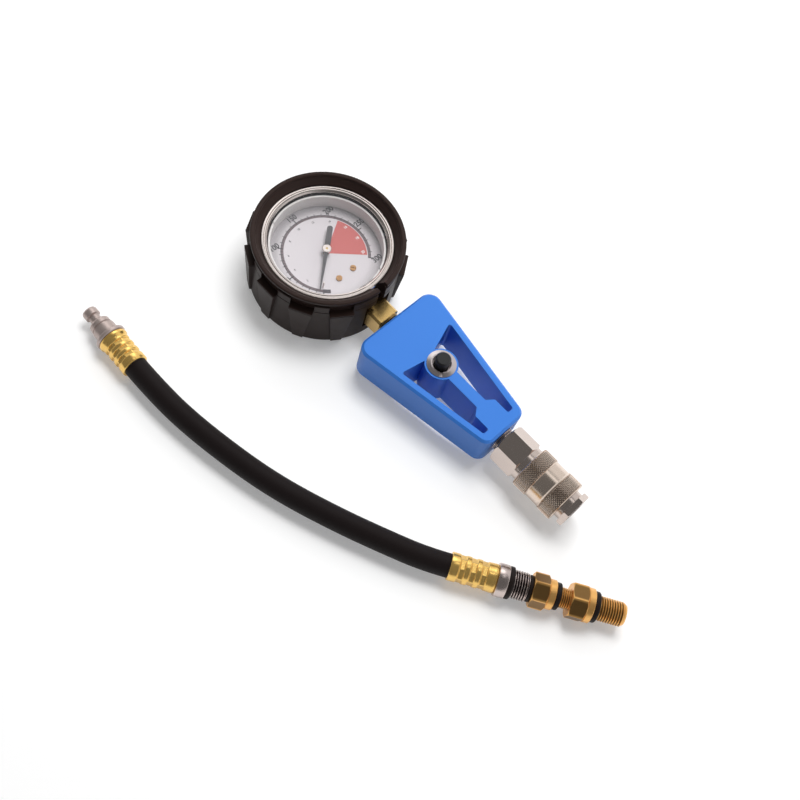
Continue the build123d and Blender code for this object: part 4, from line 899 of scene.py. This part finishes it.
def hose_height(x, y):
    """Height of the hose axis: it rises evenly along the chord between its ends."""
    near = np.array(MOUNTS["plug_body"]["pos_m"])
    far = np.array(MOUNTS["thread_end"]["pos_m"])
    start, end = np.array(HOSE_POINTS[0]), np.array(HOSE_POINTS[-1])
    chord = (end - start) / np.linalg.norm(end - start)
    share = (np.array([x, y]) - near[:2]) @ chord / ((far - near)[:2] @ chord)
    return float(near[2] + share * (far - near)[2])


def hose_point(index):
    """A control point of the hose in the frame's coordinates."""
    x, y = HOSE_POINTS[index]
    x += GAUGE_X
    return x, y, hose_height(x, y)


def plug_bar():
    """Axis from the near ferrule's mouth towards the plug's tip."""
    return Bar(hose_point(0), MOUNTS["plug_body"]["axis"])


def thread_bar():
    """Axis from the far ferrule's mouth towards the threaded tip."""
    return Bar(hose_point(-1), MOUNTS["thread_end"]["axis"])


def ferrule_profile(length, end_r):
    """Ferrule with a plain mouth, rows of dents and a flared end, its edges rounded."""
    wall, bore, flare = FERRULE_R, HOSE_R + SEAT, length - FERRULE_FLARE_L
    return [
        (0, bore), (0, wall - 0.35), (0.15, wall - 0.1), (0.4, wall),
        (FERRULE_MOUTH_L - 0.4, wall),
        crimps(FERRULE_MOUTH_L, flare - 0.9, wall, FERRULE_ROWS, sizes().crimp_depth / MM),
        (flare + 0.5, wall + 0.1), (flare + 1.0, end_r - 0.05), (flare + 1.3, end_r),
        (length - 0.6, end_r), (length - 0.2, end_r - 0.2), (length, end_r - 0.6),
        (length, bore),
    ]


class TESTER_OT_ferrules(TesterStep, bpy.types.Operator):
    """Builds the two crimped brass ferrules."""

    bl_idname = "tester.ferrules"
    bl_label = "Ferrules"

    def execute(self, context):
        brass = metal("ferrule_brass", colours().brass, rough=0.23, radius_mm=0.05, share=0.86)
        for name, bar, length, end_r, node in (
                ("ferrule_near", plug_bar(), NEAR_FERRULE_L, NEAR_FERRULE_END_R,
                 "ferrule_plug_end"),
                ("ferrule_far", thread_bar(), FAR_FERRULE_L, FAR_FERRULE_END_R,
                 "ferrule_thread_end")):
            piece = bar.surface(name, ferrule_profile(length, end_r), sharp=50.0)
            finish_piece(piece, "frame", brass, "ferrule_brass", node)
        return {"FINISHED"}


def threaded_end_profile(share):
    """Barb, collar and M14 thread, with the socket for the first adapter."""
    socket = HEX1_X0 - M10_GRIP
    collar, root = END_COLLAR_R, M14_R - M14_RELIEF
    return [
        (-BARB_L, BORE_R), (-BARB_L, BARB_R), (0, BARB_R), (0, HOSE_R),
        (FAR_FERRULE_L, HOSE_R), (FAR_FERRULE_L, collar - 0.6),
        (FAR_FERRULE_L + 0.15, collar - 0.2), (FAR_FERRULE_L + 0.5, collar),
        (COLLAR_X1 - 0.4, collar), (COLLAR_X1 - 0.1, collar - 0.15),
        (COLLAR_X1, collar - 0.4), (COLLAR_X1, root), (M14_X0, root), (M14_X0, M14_R - 0.7),
        thread(M14_X0 + 0.2, M14_X1 - 0.2, M14_R, M14_PITCH, share), (M14_X1, M14_R - 0.8),
        (M14_X1, M10_R + SEAT), (socket, M10_R + SEAT), (socket, BORE_R),
    ]


def round_face(x0, x1, radius):
    """Round part of an adapter beside its hexagon, with bevelled edges."""
    return [(x0, radius - 0.4), (x0 + 0.3, radius), (x1 - 0.3, radius), (x1, radius - 0.3)]


def first_adapter_profile(share):
    """Hexagon and round face between two M10 threads; the hidden one is plain."""
    start, end = HEX1_X0 - M10_GRIP, HEX2_X0 + M10_GRIP
    return [
        (start, BORE_R), (start, M10_R - 0.1), (HEX1_X0, M10_R - 0.1),
        (HEX1_X0, HEX1_AF / 2 - HEX1_BEVEL),
        hexagon(HEX1_X0, HEX1_X1, HEX1_AF, HEX1_DEG, HEX1_BEVEL),
        *round_face(HEX1_X1, FACE1_X1, FACE1_R), (FACE1_X1, M10_R - 0.3),
        thread(FACE1_X1 + 0.2, end, M10_R, M10_PITCH, share), (end, BORE_R),
    ]


def second_adapter_profile(share):
    """Socket, hexagon, round face, relief and M12 thread with the wider bore at its tip."""
    socket, relief = HEX2_X0 + M10_GRIP + 0.2, M12_R - M12_RELIEF
    return [
        (HEX2_X0, M10_R + SEAT), hexagon(HEX2_X0, HEX2_X1, HEX2_AF, HEX2_DEG, HEX2_BEVEL),
        *round_face(HEX2_X1, FACE2_X1, FACE2_R), (FACE2_X1, relief), (M12_X0 - 0.1, relief),
        thread(M12_X0, M12_X1 - 1.0, M12_R, M12_PITCH, share), (M12_X1 - 0.9, M12_R - 0.5),
        (M12_X1, M12_R - 1.1), (M12_X1, TIP_BORE_R), (M12_X1 - TIP_BORE_L, TIP_BORE_R),
        (M12_X1 - TIP_BORE_L, BORE_R), (socket, BORE_R), (socket, M10_R + SEAT),
    ]


class TESTER_OT_threads(TesterStep, bpy.types.Operator):
    """Cuts the threads of the far end and its two adapters."""

    bl_idname = "tester.threads"
    bl_label = "Threaded end and adapters"

    def execute(self, context):
        bar, share = thread_bar(), sizes().thread_depth
        # Painted shade in the hollows of the adapters' threads
        brass = metal("adapter_brass", colours().adapter, rough=0.32, radius_mm=0.05,
                      hollow_mm=0.6, dark=0.25, share=0.82)
        for name, profile, start, finish, slot_name, node in (
                ("threaded_end_cut", threaded_end_profile(share), 0.0,
                 shared("nickel_satin"), "nickel_satin", "threaded_end"),
                ("adapter_first_cut", first_adapter_profile(share), HEX1_DEG,
                 brass, "adapter_brass", "adapter_m10"),
                ("adapter_second_cut", second_adapter_profile(share), HEX2_DEG,
                 brass, "adapter_brass", "adapter_m12")):
            piece = bar.surface(name, profile, sharp=30.0, start=start)
            finish_piece(piece, "frame", finish, slot_name, node)
        return {"FINISHED"}


class TESTER_OT_fittings(TesterStep, bpy.types.Operator):
    """Finishes the plug, the seals and the check valve."""

    bl_idname = "tester.fittings"
    bl_label = "Plug and seals"

    def execute(self, context):
        dress(metal("plug_nickel", PLUG_NICKEL, rough=0.40, share=0.7), "hose_plug")
        dress(shared("seal_black"), "collar_seal", "face_seal", "adapter_seal", "tip_seal")
        dress(shared("movement_brass"), "valve_core")
        dress(shared("spring_steel"), "valve_pin", "core_spring")
        return {"FINISHED"}


class TESTER_OT_hose(TesterStep, bpy.types.Operator):
    """Lays the rubber hose between its two ferrules."""

    bl_idname = "tester.hose"
    bl_label = "Hose"

    def execute(self, context):
        curve = bpy.data.curves.new("hose", "CURVE")
        curve.dimensions = "3D"
        line = curve.splines.new("NURBS")
        line.points.add(len(HOSE_POINTS) - 1)
        for index, point in enumerate(line.points):
            point.co = (*hose_point(index), 1.0)
        line.order_u = 3
        line.use_endpoint_u = True
        line.resolution_u = 16
        curve.bevel_depth = HOSE_DIAMETER / 2
        curve.bevel_resolution = 10
        curve.use_fill_caps = True
        hose = bpy.data.objects.new("hose", curve)
        context.scene.collection.objects.link(hose)
        cover = rubber("hose_rubber", colours().hose, rough=0.60, grain=700.0, radius_mm=0.2)
        finish_piece(hose, "frame", cover, "hose_rubber", "rubber_hose")
        on_hose = ["ferrule_near", "ferrule_far", "threaded_end_cut", "adapter_first_cut",
                   "adapter_second_cut"]
        on_cad = ["hose_plug", "collar_seal", "face_seal", "adapter_seal", "tip_seal",
                  "valve_core", "valve_pin", "core_spring"]
        pieces = [bpy.data.objects[name] for name in on_hose]
        pieces += [frame["nodes"][name] for name in on_cad]
        hose_point(0)
        return {"FINISHED"}


# Stage

# Camera: places in mm from the gauge axis, roll in degrees and lens in mm
CAMERA_AT = (195.5, -242.2, 506.9)
CAMERA_LOOKS_AT = (78.97, -17.53, 0.0)
CAMERA_ROLL = 20.69
CAMERA_LENS = 49.99

# Floor: half its width and its drop below the pieces in metres, its colour and its glow
FLOOR_HALF, FLOOR_DROP = 2.5, 0.0001
FLOOR_COLOUR = (0.80, 0.80, 0.80)
FLOOR_GLOW = (0.24, 0.24, 0.24)

# Lamps: place and size in metres, and power in watts
KEY_AT, KEY_SIZE, KEY_POWER = (-0.10, 0.24, 0.90), (0.50, 0.36), 6.4
FILL_AT, FILL_SIZE, FILL_POWER = (0.7, -0.6, 0.7), (0.8, 0.8), 0.35

# Room: brightness below and above the change, and where along SKY_LEAN the change runs;
# each panel by its direction, outer and inner angle in degrees, and brightness
SKY_LEAN = (0.0, -0.6, 1.0)
SKY_LOW, SKY_HIGH, SKY_FROM, SKY_TO = 0.85, 0.16, 0.40, 0.64
SKY_PANELS = (((-0.08, 0.29, 0.953), 10.0, 5.0, 1.3), ((-0.52, 0.50, 0.69), 22.0, 8.0, 1.6))


def camera_matrix():
    """Camera's place and turn: it looks along forward, then rolls about that line."""
    shift = Vector((GAUGE_X, 0, 0))
    eye = Vector(CAMERA_AT) * MM + shift
    target = Vector(CAMERA_LOOKS_AT) * MM + shift
    forward = (target - eye).normalized()
    level = forward.cross(Vector((0, 0, 1))).normalized()
    up = level.cross(forward)
    roll = math.radians(CAMERA_ROLL)
    right = level * math.cos(roll) + up * math.sin(roll)
    top = -level * math.sin(roll) + up * math.cos(roll)
    turned = Matrix((right, top, -forward)).transposed().to_4x4()
    return Matrix.Translation(eye) @ turned


def studio_world():
    """Grey room: pale round the horizon, dark above, with two soft bright panels.

    The change from pale to dark follows direction . SKY_LEAN; a panel fades between
    two angles from its middle."""
    world = bpy.data.worlds.new("studio")
    world.use_nodes = True
    tree = world.node_tree
    place = tree.nodes.new("ShaderNodeTexCoord")

    def along(way):
        """How far the direction of view goes along a way."""
        dot = tree.nodes.new("ShaderNodeVectorMath")
        dot.operation = "DOT_PRODUCT"
        tree.links.new(place.outputs["Generated"], dot.inputs[0])
        dot.inputs[1].default_value = way
        return dot.outputs["Value"]

    def ramp(value, start, end, low, high):
        """Smooth change from low to high between two values."""
        made = tree.nodes.new("ShaderNodeMapRange")
        made.interpolation_type = "SMOOTHSTEP"
        tree.links.new(value, made.inputs["Value"])
        for key, number in (("From Min", start), ("From Max", end),
                            ("To Min", low), ("To Max", high)):
            made.inputs[key].default_value = number
        return made.outputs[0]

    level = ramp(along(SKY_LEAN), SKY_FROM, SKY_TO, SKY_LOW, SKY_HIGH)
    for way, outer, inner, strength in SKY_PANELS:
        panel = ramp(along(Vector(way).normalized()), math.cos(math.radians(outer)),
                     math.cos(math.radians(inner)), 0.0, strength)
        total = tree.nodes.new("ShaderNodeMath")
        total.operation = "ADD"
        tree.links.new(level, total.inputs[0])
        tree.links.new(panel, total.inputs[1])
        level = total.outputs[0]
    background = tree.nodes["Background"]
    tree.links.new(level, background.inputs["Color"])
    background.inputs["Strength"].default_value = 1.0
    return world


def area_light(name, place, size, power, target=None):
    """Soft rectangular lamp that faces a point, or straight down; gloss shows the room's
    panels in its place."""
    lamp = bpy.data.lights.new(name, "AREA")
    lamp.shape = "RECTANGLE"
    lamp.size, lamp.size_y = size
    lamp.energy = power
    holder = bpy.data.objects.new(name, lamp)
    holder.matrix_world = Matrix.Translation(place)
    if target is not None:
        way = Vector(target) - Vector(place)
        holder.matrix_world @= way.to_track_quat("-Z", "Y").to_matrix().to_4x4()
    holder.visible_glossy = False
    bpy.context.scene.collection.objects.link(holder)
    return holder


class TESTER_OT_stage(TesterStep, bpy.types.Operator):
    """Sets the pale floor, the soft lights and the camera."""

    bl_idname = "tester.stage"
    bl_label = "Floor, lights and camera"

    def execute(self, context):
        half, low = FLOOR_HALF, min(CAD_LOW.z, 0.0) - FLOOR_DROP
        points = np.array([[-half, -half, low], [half, -half, low], [half, half, low],
                           [-half, half, low]])
        floor = mesh_object("floor", points, np.array([[0, 1, 2, 3]]))
        paint = Paint("floor_white", FLOOR_COLOUR, rough=0.9, specular_ior_level=0.0)
        light = paint.node("ShaderNodeLightPath")
        seen = Wire(paint, light.outputs["Is Camera Ray"])
        for output in ("Is Glossy Ray", "Is Transmission Ray"):
            seen = seen.math("MAXIMUM", Wire(paint, light.outputs[output]))
        paint.set("Emission Color", paint.mix(seen, (0, 0, 0), FLOOR_GLOW))
        paint.set("Emission Strength", 1.0)
        floor.data.materials.append(paint.material)
        context.scene.world = studio_world()
        lamps = [
            area_light("key_lamp", KEY_AT, KEY_SIZE, KEY_POWER),
            area_light("fill_lamp", FILL_AT, FILL_SIZE, FILL_POWER, (0.0, 0.0, 0.0)),
        ]
        camera = bpy.data.cameras.new("camera")
        camera.lens = CAMERA_LENS
        camera.sensor_width = 36.0
        camera.clip_start = 0.01
        camera.clip_end = 10.0
        holder = bpy.data.objects.new("camera", camera)
        holder.matrix_world = camera_matrix()
        context.scene.collection.objects.link(holder)
        context.scene.camera = holder
        context.scene.view_settings.view_transform = "Standard"
        return {"FINISHED"}


STEPS = (
    TESTER_OT_boot,
    TESTER_OT_case,
    TESTER_OT_dial,
    TESTER_OT_pointer,
    TESTER_OT_stem,
    TESTER_OT_block,
    TESTER_OT_valve,
    TESTER_OT_coupler,
    TESTER_OT_ferrules,
    TESTER_OT_threads,
    TESTER_OT_fittings,
    TESTER_OT_hose,
    TESTER_OT_stage,
)


class TESTER_PT_looks(bpy.types.Panel):
    """Lists the tester's steps, colours and sizes."""

    bl_idname = "TESTER_PT_looks"
    bl_label = "Compression tester"
    bl_space_type = "VIEW_3D"
    bl_region_type = "UI"
    bl_category = "Tester"

    def draw(self, context):
        for step in STEPS:
            self.layout.operator(step.bl_idname)
        for group in (context.scene.tester_colours, context.scene.tester_sizes):
            for name in group.__annotations__:
                self.layout.prop(group, name)


CLASSES = (TesterColours, TesterSizes) + STEPS + (TESTER_PT_looks,)


def register():
    """Registers the classes and hangs the properties on the scene."""
    for cls in CLASSES:
        bpy.utils.register_class(cls)
    bpy.types.Scene.tester_colours = PointerProperty(type=TesterColours)
    bpy.types.Scene.tester_sizes = PointerProperty(type=TesterSizes)


def unregister():
    """Takes back what register set up."""
    del bpy.types.Scene.tester_colours
    del bpy.types.Scene.tester_sizes
    for cls in reversed(CLASSES):
        bpy.utils.unregister_class(cls)


def main():
    """Runs every step in order."""
    register()
    for step in STEPS:
        group, name = step.bl_idname.split(".")
        getattr(getattr(bpy.ops, group), name)()


if __name__ == "__main__":
    main()
